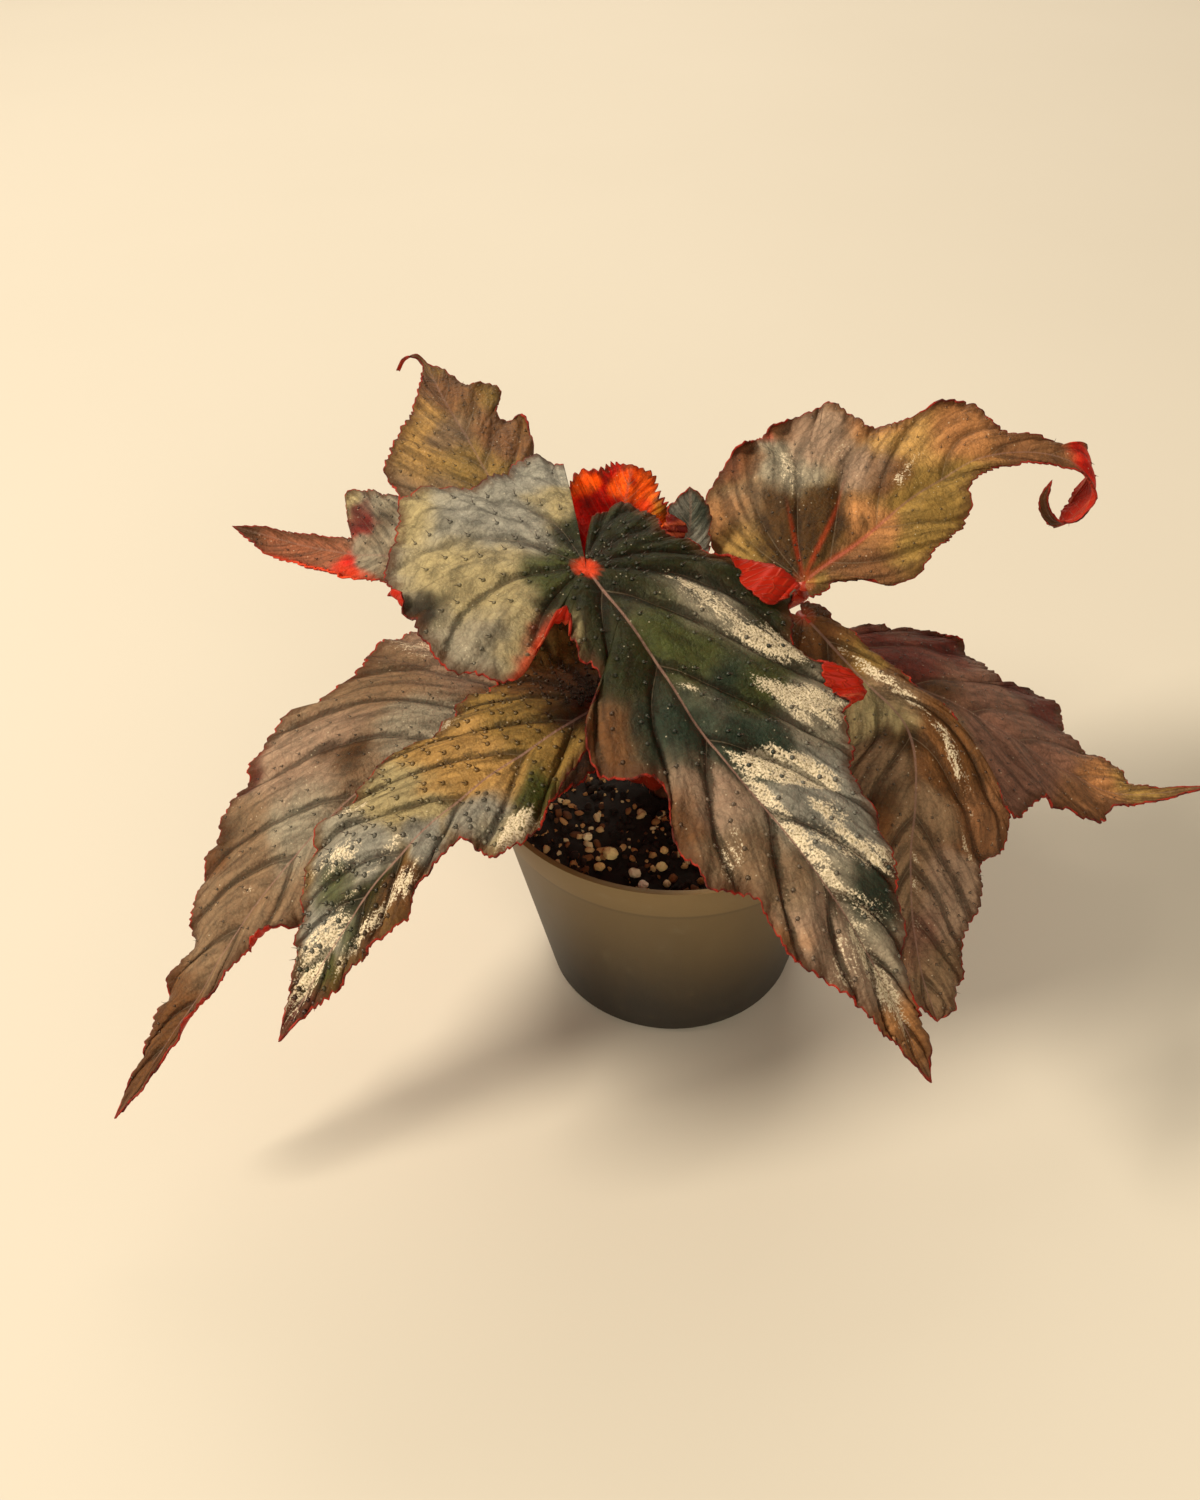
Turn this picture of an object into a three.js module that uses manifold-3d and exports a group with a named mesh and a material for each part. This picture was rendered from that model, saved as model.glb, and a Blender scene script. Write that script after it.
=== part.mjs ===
// A begonia with long pointed leaves, growing in a round nursery pot.
// Millimetres and degrees. The origin is the middle of the pot's underside, +Z is up,
// and -Y is the side that the two big front leaves hang towards.
import * as THREE from 'three';
import { mergeVertices } from 'three/addons/utils/BufferGeometryUtils.js';
import Module from 'manifold-3d';

// ---- Pot -------------------------------------------------------------------
const POT_HEIGHT = 75;
const POT_BASE_RADIUS = 36;
const POT_RIM_RADIUS = 52;
const POT_WALL = 1.6;
const POT_FLOOR = 2.2;
const POT_FOOT_BEVEL = 2.5;
const RIM_BAND_HEIGHT = 11;
const RIM_BAND_STEP = 1.2;
const RIM_ROUNDING = 0.8;
const DRAIN_HOLE_SIDES = 12;
const DRAIN_HOLE_COUNT = 6;
const DRAIN_HOLE_RADIUS = 4;
const DRAIN_HOLE_CIRCLE = 24;
const POT_SIDES = 40;

// ---- Soil and crown --------------------------------------------------------
const FIT_GAP = 0.3;
const SOIL_LEVEL = 65;
const SOIL_DOME = 1.5;         // how far the soil falls from the crown to the wall
const SOIL_FOOT_BEVEL = 1.5;
const CROWN_RADIUS = 7;
const CROWN_FOOT = 54;
const CROWN_SHOULDER = 80;
const CROWN_TOP = 86;
const CROWN_FOOT_TAPER = 5;
const CROWN_SIDES = 18;

// ---- Leaves ----------------------------------------------------------------
const BLADE_THICKNESS = 0.9;
const FAN_ANGLE = 45;      // veins leave the midrib at this angle, and fan out wider at the junction
const FAN_SHARE = 0.36;    // share of the rays that fan out from the junction
const BLADE_RAYS = 19;
const BLADE_RINGS = 4;
const RUFFLE_REACH = 35;   // the margin's waves have their full height this far from the midrib
const RUFFLE_TURNS = 30;   // radians of wave from the notch to the tip
const WELD_DISTANCE = 1e-3;
const MIDRIB_SAMPLES = 240;
const STALK_QUARTER_SIDES = 4;
const STALK_STEPS = 13;
const STALK_STANDOFF = 9;  // the stalk meets its blade square on over this length
const STALK_GAP = 0.5;

// Each midrib starts behind the junction of blade and stalk, has the junction as its second
// point, and ends at the tip. Margins are [along the midrib, across it] from the junction,
// from the notch round to the tip. Fold and cup are how far each half slopes down from
// the midrib and bends down per 10 mm, left half first, and tilt rolls the whole blade.
const LEAVES = {
  front: {
    midrib: [[-41, 25, 143], [-22, -4, 139], [-8, -25, 130], [4, -45, 120], [25, -72, 106], [38, -89, 91],
      [51, -103, 67]],
    fold: [2, 4], cup: [1.5, 4], tilt: 0, ruffle: 1.2,
    left: [[-6, 4], [-14, 11], [-17, 17], [-17, 25], [-11, 28], [-3, 25], [2, 30], [11, 33], [18, 38], [25, 43],
      [33, 39], [50, 38], [62, 35], [70, 32], [79, 24], [92, 21], [105, 15], [113, 10], [125, 5], [139, 3]],
    right: [[-39, -19], [-44, -14], [-46, -8], [-42, -3], [-42, 3], [-46, 11], [-52, 17], [-49, 24], [-42, 29],
      [-29, 40], [-15, 40], [-4, 42], [6, 44], [12, 40], [18, 31], [26, 14], [39, 23], [52, 23], [58, 16],
      [69, 22], [80, 23], [90, 16], [99, 17], [119, 9], [132, 5]],
    stalk: { from: [190, 79], via: [[-14, -3, 104], [-20, -2, 122]], radius: 2.2 },
  },
  front_left: {
    midrib: [[-2, -2, 104], [-20, -18, 108], [-34, -32, 109], [-51, -46, 106], [-66, -59, 100], [-79, -68, 87],
      [-97, -84, 64]],
    fold: [4, 4], cup: [4, 4], tilt: 0, ruffle: 1.2,
    left: [[-5, 3], [-6, 8], [3, 11], [15, 11], [27, 15], [38, 20], [48, 20], [54, 9], [64, 10], [73, 12],
      [84, 10], [98, 7], [109, 3]],
    right: [[-5, 3], [-8, 12], [-6, 22], [8, 24], [24, 30], [36, 24], [46, 28], [60, 25], [75, 26], [87, 18],
      [96, 10], [109, 3]],
    stalk: { from: [236, 73], via: [[-12, -13, 90]], radius: 2 },
  },
  far_left: {
    midrib: [[-5, 6, 82], [-28, -2, 87], [-51, -9, 91], [-71, -17, 91], [-88, -30, 85], [-106, -46, 72],
      [-116, -56, 62], [-124, -63, 52], [-145, -80, 30]],
    fold: [4, 0], cup: [4, 1], tilt: 0, ruffle: 1.2,
    left: [[-5, 3], [-5, 10], [0, 18], [10, 24], [34, 29], [68, 28], [85, 22], [94, 14], [104, 8], [115, 5],
      [135, 3], [151, 3]],
    right: [[-5, 3], [-6, 12], [0, 26], [10, 44], [22, 57], [34, 54], [40, 46], [49, 38], [60, 38], [78, 32],
      [95, 25], [113, 14], [119, 10], [125, 12], [133, 8], [154, 2]],
    stalk: { from: [200, 71], via: [[-18, -5, 78]], radius: 2 },
  },
  back_left: {
    midrib: [[-26, 12, 112], [-35, 24, 124], [-44, 37, 135], [-53, 56, 142], [-61, 72, 148], [-67, 86, 151]],
    fold: [3, 3], cup: [3, 3], tilt: 0, ruffle: 1,
    left: [[-7, 3], [-10, 10], [-2, 20], [14, 25], [29, 25], [37, 25], [45, 22], [52, 16], [58, 9], [70, 3]],
    right: [[-7, 3], [-8, 7], [2, 11], [16, 12], [30, 15], [44, 18], [49, 12], [58, 17], [63, 9], [71, 4]],
    stalk: { from: [140, 78], via: [[-14, 12, 92], [-27, 20, 112]], radius: 1.8 },
  },
  left: {
    midrib: [[-34, 22, 109], [-51, 30, 111], [-74, 42, 114], [-89, 50, 111], [-104, 57, 110], [-125, 64, 113]],
    fold: [3, 3], cup: [3, 3], tilt: -30, ruffle: 1,
    left: [[-5, 3], [-6, 9], [4, 13], [17, 12], [27, 8], [48, 7], [59, 6], [70, 5]],
    right: [[-5, 3], [-6, 11], [6, 19], [22, 20], [35, 20], [47, 22], [53, 22], [52, 11], [51, 5], [66, 3],
      [75, 2]],
    stalk: { from: [156, 71], via: [[-17, 13, 86], [-33, 22, 102]], radius: 1.8 },
  },
  back_right: {
    midrib: [[22, 12, 106], [36, 22, 116], [53, 33, 122], [65, 42, 127], [76, 50, 129], [86, 55, 132],
      [98, 58, 135], [110, 57, 136], [119, 55, 132], [122, 53, 123], [117, 51, 116], [109, 51, 117]],
    fold: [3, 3], cup: [2, 2], tilt: 30, ruffle: 1,
    left: [[-4, 5], [-9, 12], [-9, 23], [-5, 31], [3, 40], [19, 42], [32, 41], [41, 38], [45, 31], [47, 23],
      [59, 20], [68, 17], [74, 7], [84, 4], [97, 6], [112, 5]],
    right: [[-2, 4], [5, 5], [13, 9], [18, 15], [26, 17], [35, 15], [45, 15], [52, 12], [59, 5], [78, 4],
      [97, 6], [112, 5]],
    stalk: { from: [38, 78], via: [[14, 11, 94], [28, 20, 108]], radius: 2 },
  },
  right: {
    midrib: [[22, 10, 104], [39, 9, 103], [59, 4, 97], [82, -2, 87], [105, -8, 73], [121, -12, 67],
      [144, -14, 71]],
    fold: [3, 3], cup: [3, 3], tilt: 0, ruffle: 1.2,
    left: [[-4, 4], [-2, 9], [8, 16], [17, 23], [35, 34], [49, 32], [54, 25], [69, 36], [76, 31], [79, 16],
      [91, 12], [98, 3], [110, 1]],
    right: [[-4, 4], [0, 10], [12, 16], [28, 21], [44, 25], [58, 28], [70, 16], [84, 14], [91, 6], [107, 2]],
    stalk: { from: [4, 71], via: [[18, 4, 84], [32, 8, 96]], radius: 1.8 },
  },
  front_right: {
    midrib: [[21, 15, 121], [33, 3, 118], [43, -8, 111], [56, -25, 103], [56, -41, 93], [54, -52, 83],
      [55, -66, 67], [60, -75, 52]],
    fold: [6, 6], cup: [4, 4], tilt: 0, ruffle: 1.2,
    left: [[-4, 3], [-5, 8], [6, 11], [20, 10], [37, 12], [46, 19], [54, 25], [63, 28], [76, 20], [85, 20],
      [91, 15], [105, 10], [111, 6]],
    right: [[-4, 3], [-4, 8], [8, 12], [24, 16], [52, 19], [69, 15], [85, 11], [98, 8]],
    stalk: { from: [345, 78], via: [[18, -1, 92], [30, 4, 108]], radius: 1.8 },
  },
  young_upright: {
    midrib: [[-16, 30, 108], [-15, 34, 116], [-12, 39, 128], [-9, 44, 140]],
    fold: [0, 0], cup: [-6, -6], tilt: 0, side: [1, 0, 0], ruffle: 0.6,
    left: [[-3, 2], [-2, 6], [6, 11], [15, 12], [21, 9], [25, 5]],
    right: [[-3, 2], [-2, 6], [6, 11], [14, 15], [20, 14], [24, 9]],
    stalk: { from: [108, 78], via: [[-7, 18, 90], [-14, 29, 104]], radius: 1.3 },
  },
  young_curled: {
    midrib: [[3, 26, 108], [4, 30, 116], [6, 35, 127], [6, 38, 136]],
    fold: [0, 0], cup: [8, 8], tilt: 0, side: [-1, 0, 0], ruffle: 0.4,
    left: [[-2, 2], [-1, 5], [6, 8], [12, 8], [18, 5]],
    right: [[-2, 2], [-1, 6], [7, 9], [13, 8], [18, 4]],
    stalk: { from: [74, 78], via: [[4, 17, 90], [4, 26, 104]], radius: 1.2 },
  },
};

// ---- Small things on the soil ----------------------------------------------
// Grains are [x, y, mean radius] on the soil; stipules are [bearing, foot height, length].
const GRAINS = [[-18, -28, 2.5], [-21, -32, 1.6], [-12, -35, 1.8], [-10, -39, 1.7], [-24, -21, 1.5],
  [-5, -33, 1.7], [-4, -27, 1.4], [22, -30, 1.8], [34, -8, 2], [30, 18, 2.4], [-30, 16, 2.2], [6, 38, 2.3]];
const GRAIN_SQUASH = 0.75;
const STIPULES = [[322, 72, 10], [292, 77, 11], [264, 71, 10]];
const STIPULE_RADIUS = 2.4;
const STIPULE_FLATNESS = 0.4;
const STIPULE_LEAN = 22;
const STIPULE_SIDES = 7;
const BUD_LENGTH = 15;
const BUD_RADIUS = 2.2;
const BUD_SIDES = 8;

// ---- Finishes --------------------------------------------------------------
const material = (color, roughness) => new THREE.MeshStandardMaterial({ color, roughness, metalness: 0 });
const POT_PLASTIC = material(0x4c4a3c, 0.62);
const SOIL_MIX = material(0x1d1613, 0.98);
const PERLITE = material(0xd8c8a0, 0.95);
const CROWN_SKIN = material(0x6b3a22, 0.7);
const STALK_SKIN = material(0x8a2b1c, 0.5);
const BLADE_SKIN = material(0x54584a, 0.5);
const YOUNG_BLADE_SKIN = material(0xb03a1e, 0.5);

const group = new THREE.Group();
const wasm = await Module();
wasm.setup();

function add(name, geometry, skin) {
  const mesh = new THREE.Mesh(geometry, skin);
  mesh.name = name;
  group.add(mesh);
}

// The same surface with shared corners, and without the faces that shrank to a line,
// as at the axis of a turned piece or at the tip of a leaf.
function weld(geometry) {
  geometry.deleteAttribute('normal');
  geometry.deleteAttribute('uv');
  const welded = mergeVertices(geometry, WELD_DISTANCE);
  const corners = welded.index.array;
  const kept = [];
  for (let k = 0; k < corners.length; k += 3) {
    const [a, b, c] = corners.slice(k, k + 3);
    if (a !== b && b !== c && a !== c) kept.push(a, b, c);
  }
  welded.setIndex(kept);
  return welded;
}

function toSolid(geometry) {
  const welded = weld(geometry);
  return new wasm.Manifold(new wasm.Mesh({
    numProp: 3,
    vertProperties: new Float32Array(welded.attributes.position.array),
    triVerts: new Uint32Array(welded.index.array),
  }));
}

function toGeometry(solid) {
  const mesh = solid.getMesh();
  const geometry = new THREE.BufferGeometry();
  geometry.setAttribute('position', new THREE.BufferAttribute(new Float32Array(mesh.vertProperties), 3));
  geometry.setIndex(new THREE.BufferAttribute(new Uint32Array(mesh.triVerts), 1));
  geometry.computeVertexNormals();
  return geometry;
}

// A lathed solid about +Z from [radius, height] pairs that run upwards on the outside.
function turned(profile, sides) {
  const lathe = new THREE.LatheGeometry(profile.map(([r, z]) => new THREE.Vector2(r, z)), sides);
  return weld(lathe.rotateX(Math.PI / 2));
}

const bandFoot = POT_HEIGHT - RIM_BAND_HEIGHT;
const wallRise = (POT_RIM_RADIUS - RIM_BAND_STEP - POT_BASE_RADIUS) / POT_HEIGHT;
const outerWall = (z) => POT_BASE_RADIUS + wallRise * z;
const innerWall = (z) => outerWall(z) - POT_WALL;

// The pot: a thin tapered wall with a stepped rim band and a ring of drain holes.
function makePot() {
  const rimInner = innerWall(POT_HEIGHT) + RIM_BAND_STEP;
  let pot = toSolid(turned([
    [0, 0],
    [POT_BASE_RADIUS - POT_FOOT_BEVEL, 0],
    [POT_BASE_RADIUS - POT_FOOT_BEVEL * 0.3, POT_FOOT_BEVEL * 0.3],
    [outerWall(POT_FOOT_BEVEL), POT_FOOT_BEVEL],
    [outerWall(bandFoot), bandFoot],
    [outerWall(bandFoot) + RIM_BAND_STEP, bandFoot + RIM_ROUNDING],
    [POT_RIM_RADIUS, POT_HEIGHT - RIM_ROUNDING],
    [POT_RIM_RADIUS - RIM_ROUNDING * 0.7, POT_HEIGHT],
    [rimInner + RIM_ROUNDING * 0.5, POT_HEIGHT],
    [rimInner, POT_HEIGHT - RIM_ROUNDING],
    [innerWall(bandFoot) + RIM_BAND_STEP, bandFoot + 2 * RIM_ROUNDING],
    [innerWall(bandFoot), bandFoot],
    [innerWall(POT_FLOOR + 1), POT_FLOOR + 1],
    [innerWall(POT_FLOOR) - 1, POT_FLOOR],
    [0, POT_FLOOR],
  ], POT_SIDES));
  for (let k = 0; k < DRAIN_HOLE_COUNT; k += 1) {
    const bearing = (k + 0.5) * 2 * Math.PI / DRAIN_HOLE_COUNT;
    const drill = new THREE.CylinderGeometry(DRAIN_HOLE_RADIUS, DRAIN_HOLE_RADIUS, 4 * POT_FLOOR,
      DRAIN_HOLE_SIDES);
    drill.rotateX(Math.PI / 2);
    drill.translate(DRAIN_HOLE_CIRCLE * Math.cos(bearing), DRAIN_HOLE_CIRCLE * Math.sin(bearing), 0);
    pot = pot.subtract(toSolid(drill));
  }
  return toGeometry(pot);
}

// The root ball of potting mix, with the pocket that the crown grows in.
function makeSoil() {
  const floor = POT_FLOOR + FIT_GAP;
  const pocket = CROWN_RADIUS + FIT_GAP;
  const edge = SOIL_LEVEL - SOIL_DOME;
  return turned([
    [0, floor],
    [innerWall(floor) - SOIL_FOOT_BEVEL, floor],
    [innerWall(floor + SOIL_FOOT_BEVEL) - FIT_GAP, floor + SOIL_FOOT_BEVEL],
    [innerWall(edge) - FIT_GAP, edge],
    [innerWall(edge) * 0.82, SOIL_LEVEL - SOIL_DOME * 0.6],
    [innerWall(edge) * 0.5, SOIL_LEVEL - SOIL_DOME * 0.25],
    [pocket, SOIL_LEVEL],
    [pocket, CROWN_FOOT],
    [0, CROWN_FOOT],
  ], POT_SIDES);
}

// The thick knobbly crown that every leaf stalk grows from.
function makeCrown() {
  return turned([
    [0, CROWN_FOOT + FIT_GAP],
    [CROWN_RADIUS * 0.7, CROWN_FOOT + FIT_GAP],
    [CROWN_RADIUS, CROWN_FOOT + CROWN_FOOT_TAPER],
    [CROWN_RADIUS, CROWN_SHOULDER],
    [CROWN_RADIUS * 0.8, (CROWN_SHOULDER + 2 * CROWN_TOP) / 3],
    [CROWN_RADIUS * 0.35, CROWN_TOP],
    [0, CROWN_TOP],
  ], CROWN_SIDES);
}

// The soil's height at a place, from the same dome as the soil's profile.
function soilHeight(x, y) {
  const share = Math.min(1, Math.hypot(x, y) / innerWall(SOIL_LEVEL - SOIL_DOME));
  return SOIL_LEVEL - SOIL_DOME * share * share;
}

// A rough grain of perlite, turned differently for each index, that lies on the soil.
function makeGrain([x, y, radius], index) {
  const grain = new THREE.IcosahedronGeometry(radius, 0);
  grain.rotateZ(index * 1.1);
  grain.rotateX(index * 0.7);
  grain.scale(1, 1, GRAIN_SQUASH);
  grain.computeBoundingBox();
  grain.translate(x, y, soilHeight(x, y) + FIT_GAP - grain.boundingBox.min.z);
  return weld(grain);
}

// A pointed papery stipule that stands against the crown and leans outwards.
function makeStipule([bearing, foot, length]) {
  const cone = new THREE.ConeGeometry(STIPULE_RADIUS, length, STIPULE_SIDES);
  cone.scale(1, 1, STIPULE_FLATNESS);
  cone.rotateX(Math.PI / 2);
  cone.rotateZ(Math.PI / 2);
  cone.translate(0, 0, length / 2);
  cone.rotateY(THREE.MathUtils.degToRad(STIPULE_LEAN));
  cone.translate(CROWN_RADIUS + FIT_GAP + STIPULE_RADIUS * STIPULE_FLATNESS, 0, foot);
  return weld(cone.rotateZ(THREE.MathUtils.degToRad(bearing)));
}

// The next leaf, still rolled up, on top of the crown.
function makeBud() {
  const bud = new THREE.ConeGeometry(BUD_RADIUS, BUD_LENGTH, BUD_SIDES);
  bud.rotateX(Math.PI / 2);
  bud.translate(0, 0, CROWN_TOP + FIT_GAP + BUD_LENGTH / 2);
  return weld(bud);
}

const clamp01 = (value) => Math.min(1, Math.max(0, value));

// The curved surface that a blade lies in, addressed by mm along and across its midrib.
class BladeSurface {
  constructor(leaf) {
    const points = leaf.midrib.map((p) => new THREE.Vector3(...p));
    this.leaf = leaf;
    this.curve = new THREE.CatmullRomCurve3(points, false, 'catmullrom', 0.5);
    this.places = [];
    this.marks = [];
    let run = 0;
    for (let k = 0; k <= MIDRIB_SAMPLES; k += 1) {
      this.places.push(this.curve.getPoint(k / MIDRIB_SAMPLES));
      if (k > 0) run += this.places[k].distanceTo(this.places[k - 1]);
      this.marks.push(run);
    }
    const junction = this.marks[Math.round(MIDRIB_SAMPLES / (points.length - 1))];
    this.marks = this.marks.map((mark) => mark - junction);
    this.length = this.marks[MIDRIB_SAMPLES];
    const heading = points[points.length - 1].clone().sub(points[1]).setZ(0).normalize();
    this.side = leaf.side
      ? new THREE.Vector3(...leaf.side)
      : new THREE.Vector3(-heading.y, heading.x, 0);
  }

  // The midrib's place, direction, sideways direction and upper normal at `along` mm.
  frame(along) {
    let k = 1;
    while (k < MIDRIB_SAMPLES && this.marks[k] < along) k += 1;
    const span = this.marks[k] - this.marks[k - 1];
    const share = (along - this.marks[k - 1]) / span;
    const place = this.places[k - 1].clone().lerp(this.places[k], share);
    const forward = this.curve.getTangent(clamp01((k - 1 + clamp01(share)) / MIDRIB_SAMPLES));
    const up = forward.clone().cross(this.side).normalize();
    const across = up.clone().cross(forward);
    across.applyAxisAngle(forward, THREE.MathUtils.degToRad(this.leaf.tilt));
    return { place, forward, across, up: forward.clone().cross(across) };
  }

  // A point of the blade, `lift` mm above its middle surface.
  point(along, across, lift) {
    const half = across >= 0 ? 0 : 1;
    const slope = THREE.MathUtils.degToRad(this.leaf.fold[half]);
    const bend = THREE.MathUtils.degToRad(this.leaf.cup[half]) / 10 + 1e-6;
    const reach = Math.abs(across);
    const out = (Math.sin(slope + bend * reach) - Math.sin(slope)) / bend * Math.sign(across);
    const drop = (Math.cos(slope + bend * reach) - Math.cos(slope)) / bend;
    const { place, across: sideways, up } = this.frame(along);
    return place.addScaledVector(sideways, out).addScaledVector(up, drop + lift);
  }
}

// Degrees from the midrib, past 180 for a lobe that crosses the line behind the junction.
function bearingOf(along, across) {
  const angle = THREE.MathUtils.radToDeg(Math.atan2(across, along));
  return angle < 0 ? angle + 360 : angle;
}

// Turns one half's margin into radii along its rays. The first rays fan out from the
// junction; the others leave the midrib at FAN_ANGLE, further and further along.
function marginRays(margin, length) {
  const notch = bearingOf(...margin[0]);
  const knots = margin.map(([along, across]) => {
    const angle = bearingOf(along, across);
    if (angle >= FAN_ANGLE) {
      return [FAN_SHARE * (notch - angle) / (notch - FAN_ANGLE), Math.hypot(along, across)];
    }
    const foot = along - across;
    return [FAN_SHARE + (1 - FAN_SHARE) * foot / length, Math.hypot(along - foot, across)];
  });
  knots.push([1, 0]);
  return (share) => {
    let k = 1;
    while (k < knots.length - 1 && knots[k][0] < share) k += 1;
    const [a, b] = [knots[k - 1], knots[k]];
    const radius = THREE.MathUtils.lerp(a[1], b[1], clamp01((share - a[0]) / (b[0] - a[0])));
    const fan = clamp01(share / FAN_SHARE);
    const angle = THREE.MathUtils.degToRad(THREE.MathUtils.lerp(notch, FAN_ANGLE, fan));
    const foot = length * Math.max(0, (share - FAN_SHARE) / (1 - FAN_SHARE));
    return { radius, angle, foot };
  };
}

// A blade: an upper and a lower skin over the two halves, closed along the margin.
function makeBlade(leaf, surface) {
  const halves = [marginRays(leaf.left, surface.length), marginRays(leaf.right, surface.length)];
  const corners = [];
  const faces = [];
  const corner = (half, ray, ring, lift) => {
    const share = ray / BLADE_RAYS;
    const { radius, angle, foot } = halves[half](share);
    const reach = radius * ring / BLADE_RINGS;
    const side = half === 0 ? 1 : -1;
    const wave = leaf.ruffle * Math.sin(share * RUFFLE_TURNS + half) * (reach / RUFFLE_REACH) ** 2;
    corners.push(surface.point(foot + reach * Math.cos(angle), side * reach * Math.sin(angle), lift + wave));
    return corners.length - 1;
  };
  const sheet = (half, lift) => {
    const grid = [];
    for (let ray = 0; ray <= BLADE_RAYS; ray += 1) {
      grid.push([]);
      for (let ring = 0; ring <= BLADE_RINGS; ring += 1) grid[ray].push(corner(half, ray, ring, lift));
    }
    return grid;
  };
  const quad = (a, b, c, d, flip) => {
    if (flip) faces.push([a, c, b], [a, d, c]);
    else faces.push([a, b, c], [a, c, d]);
  };
  for (const half of [0, 1]) {
    const upper = sheet(half, BLADE_THICKNESS / 2);
    const lower = sheet(half, -BLADE_THICKNESS / 2);
    const flip = half === 0;
    for (let ray = 0; ray < BLADE_RAYS; ray += 1) {
      for (let ring = 0; ring < BLADE_RINGS; ring += 1) {
        quad(upper[ray][ring], upper[ray + 1][ring], upper[ray + 1][ring + 1], upper[ray][ring + 1], !flip);
        quad(lower[ray][ring], lower[ray + 1][ring], lower[ray + 1][ring + 1], lower[ray][ring + 1], flip);
      }
      const edge = BLADE_RINGS;
      quad(upper[ray][edge], lower[ray][edge], lower[ray + 1][edge], upper[ray + 1][edge], flip);
    }
    for (let ring = 0; ring < BLADE_RINGS; ring += 1) {
      quad(upper[0][ring], lower[0][ring], lower[0][ring + 1], upper[0][ring + 1], flip);
    }
  }
  const geometry = new THREE.BufferGeometry();
  const coordinates = corners.flatMap((p) => [p.x, p.y, p.z]);
  geometry.setAttribute('position', new THREE.Float32BufferAttribute(coordinates, 3));
  geometry.setIndex(faces.flat());
  return weld(geometry);
}

// A leaf stalk from the crown up to the underside of its blade.
function makeStalk({ from: [bearing, height], via, radius }, surface) {
  const turn = THREE.MathUtils.degToRad(bearing);
  const outwards = new THREE.Vector3(Math.cos(turn), Math.sin(turn), 0);
  const start = outwards.clone().multiplyScalar(CROWN_RADIUS + FIT_GAP).setZ(height);
  const { up } = surface.frame(0);
  const underside = surface.point(radius * 0.7, 0, -BLADE_THICKNESS / 2 - STALK_GAP);
  const route = [
    start,
    start.clone().addScaledVector(outwards, radius * 1.5),
    ...via.map((p) => new THREE.Vector3(...p)),
    underside.clone().addScaledVector(up, -STALK_STANDOFF),
    underside.clone().addScaledVector(up, -STALK_STANDOFF / 3),
    underside,
  ];
  const section = new THREE.Shape();
  section.absarc(0, 0, radius, 0, 2 * Math.PI, false);
  return weld(new THREE.ExtrudeGeometry(section, {
    extrudePath: new THREE.CatmullRomCurve3(route, false, 'centripetal'),
    steps: STALK_STEPS,
    curveSegments: STALK_QUARTER_SIDES,
  }));
}

add('nursery_pot', makePot(), POT_PLASTIC);
add('potting_soil', makeSoil(), SOIL_MIX);
add('crown', makeCrown(), CROWN_SKIN);
add('leaf_bud', makeBud(), STALK_SKIN);
GRAINS.forEach((grain, k) => add(`perlite_grain_${k + 1}`, makeGrain(grain, k), PERLITE));
STIPULES.forEach((stipule, k) => add(`stipule_${k + 1}`, makeStipule(stipule), CROWN_SKIN));
for (const [name, leaf] of Object.entries(LEAVES)) {
  const surface = new BladeSurface(leaf);
  const skin = name.startsWith('young') ? YOUNG_BLADE_SKIN : BLADE_SKIN;
  add(`leaf_${name}`, makeBlade(leaf, surface), skin);
  add(`stalk_${name}`, makeStalk(leaf.stalk, surface), STALK_SKIN);
}

export default group;
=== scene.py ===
# A begonia with long pointed leaves, growing in a round nursery pot.
# Metres, +Z up, the origin in the middle of the pot's underside.
import math
import random

import bmesh
import bpy
import numpy as np
from mathutils import Matrix, Vector, noise


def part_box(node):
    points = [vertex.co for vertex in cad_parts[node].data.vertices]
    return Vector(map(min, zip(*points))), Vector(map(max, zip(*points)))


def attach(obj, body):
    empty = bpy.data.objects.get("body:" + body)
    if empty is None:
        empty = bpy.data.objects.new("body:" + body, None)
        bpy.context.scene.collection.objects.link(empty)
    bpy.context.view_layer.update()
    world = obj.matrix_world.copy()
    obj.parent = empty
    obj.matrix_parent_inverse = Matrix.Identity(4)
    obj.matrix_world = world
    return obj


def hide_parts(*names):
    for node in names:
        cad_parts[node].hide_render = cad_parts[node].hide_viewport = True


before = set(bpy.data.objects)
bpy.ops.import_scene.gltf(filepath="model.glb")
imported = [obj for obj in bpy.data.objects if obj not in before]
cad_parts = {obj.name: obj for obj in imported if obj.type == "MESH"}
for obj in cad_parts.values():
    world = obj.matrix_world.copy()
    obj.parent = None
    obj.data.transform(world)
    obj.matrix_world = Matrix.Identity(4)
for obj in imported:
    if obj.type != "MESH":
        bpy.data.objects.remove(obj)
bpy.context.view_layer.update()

# ---- View and light --------------------------------------------------------
# The plant is looked down on from the front. A plain pale floor carries it, and a large
# warm light from the upper left, with two weaker ones, gives soft shadows to the right.
MM = 0.001
CAMERA_PLACE = (-20 * MM, -282 * MM, 322 * MM)
CAMERA_PITCH = 40.9
CAMERA_ROLL = -1.75
SENSOR = 36
FOCAL_LENGTH = 32.93
CLIP_START = 0.01
FLOOR_RADIUS = 6
FLOOR_STEPS = 96
ROOM_COLOR = (1.0, 0.84, 0.61, 1)
ROOM_STRENGTH = 0.33
LIGHTS = [
    # place, aimed at, size, power, colour
    ((-2.1, -0.3, 1.85), (0, 0, 0.08), 0.8, 112, (1.0, 0.85, 0.64)),
    ((0.5, -1.7, 1.0), (0, 0, 0.08), 1.2, 17, (1.0, 0.85, 0.64)),
    ((0.1, 2.0, 1.5), (0, 0, 0.1), 1.5, 26, (1.0, 0.86, 0.68)),
]


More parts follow.
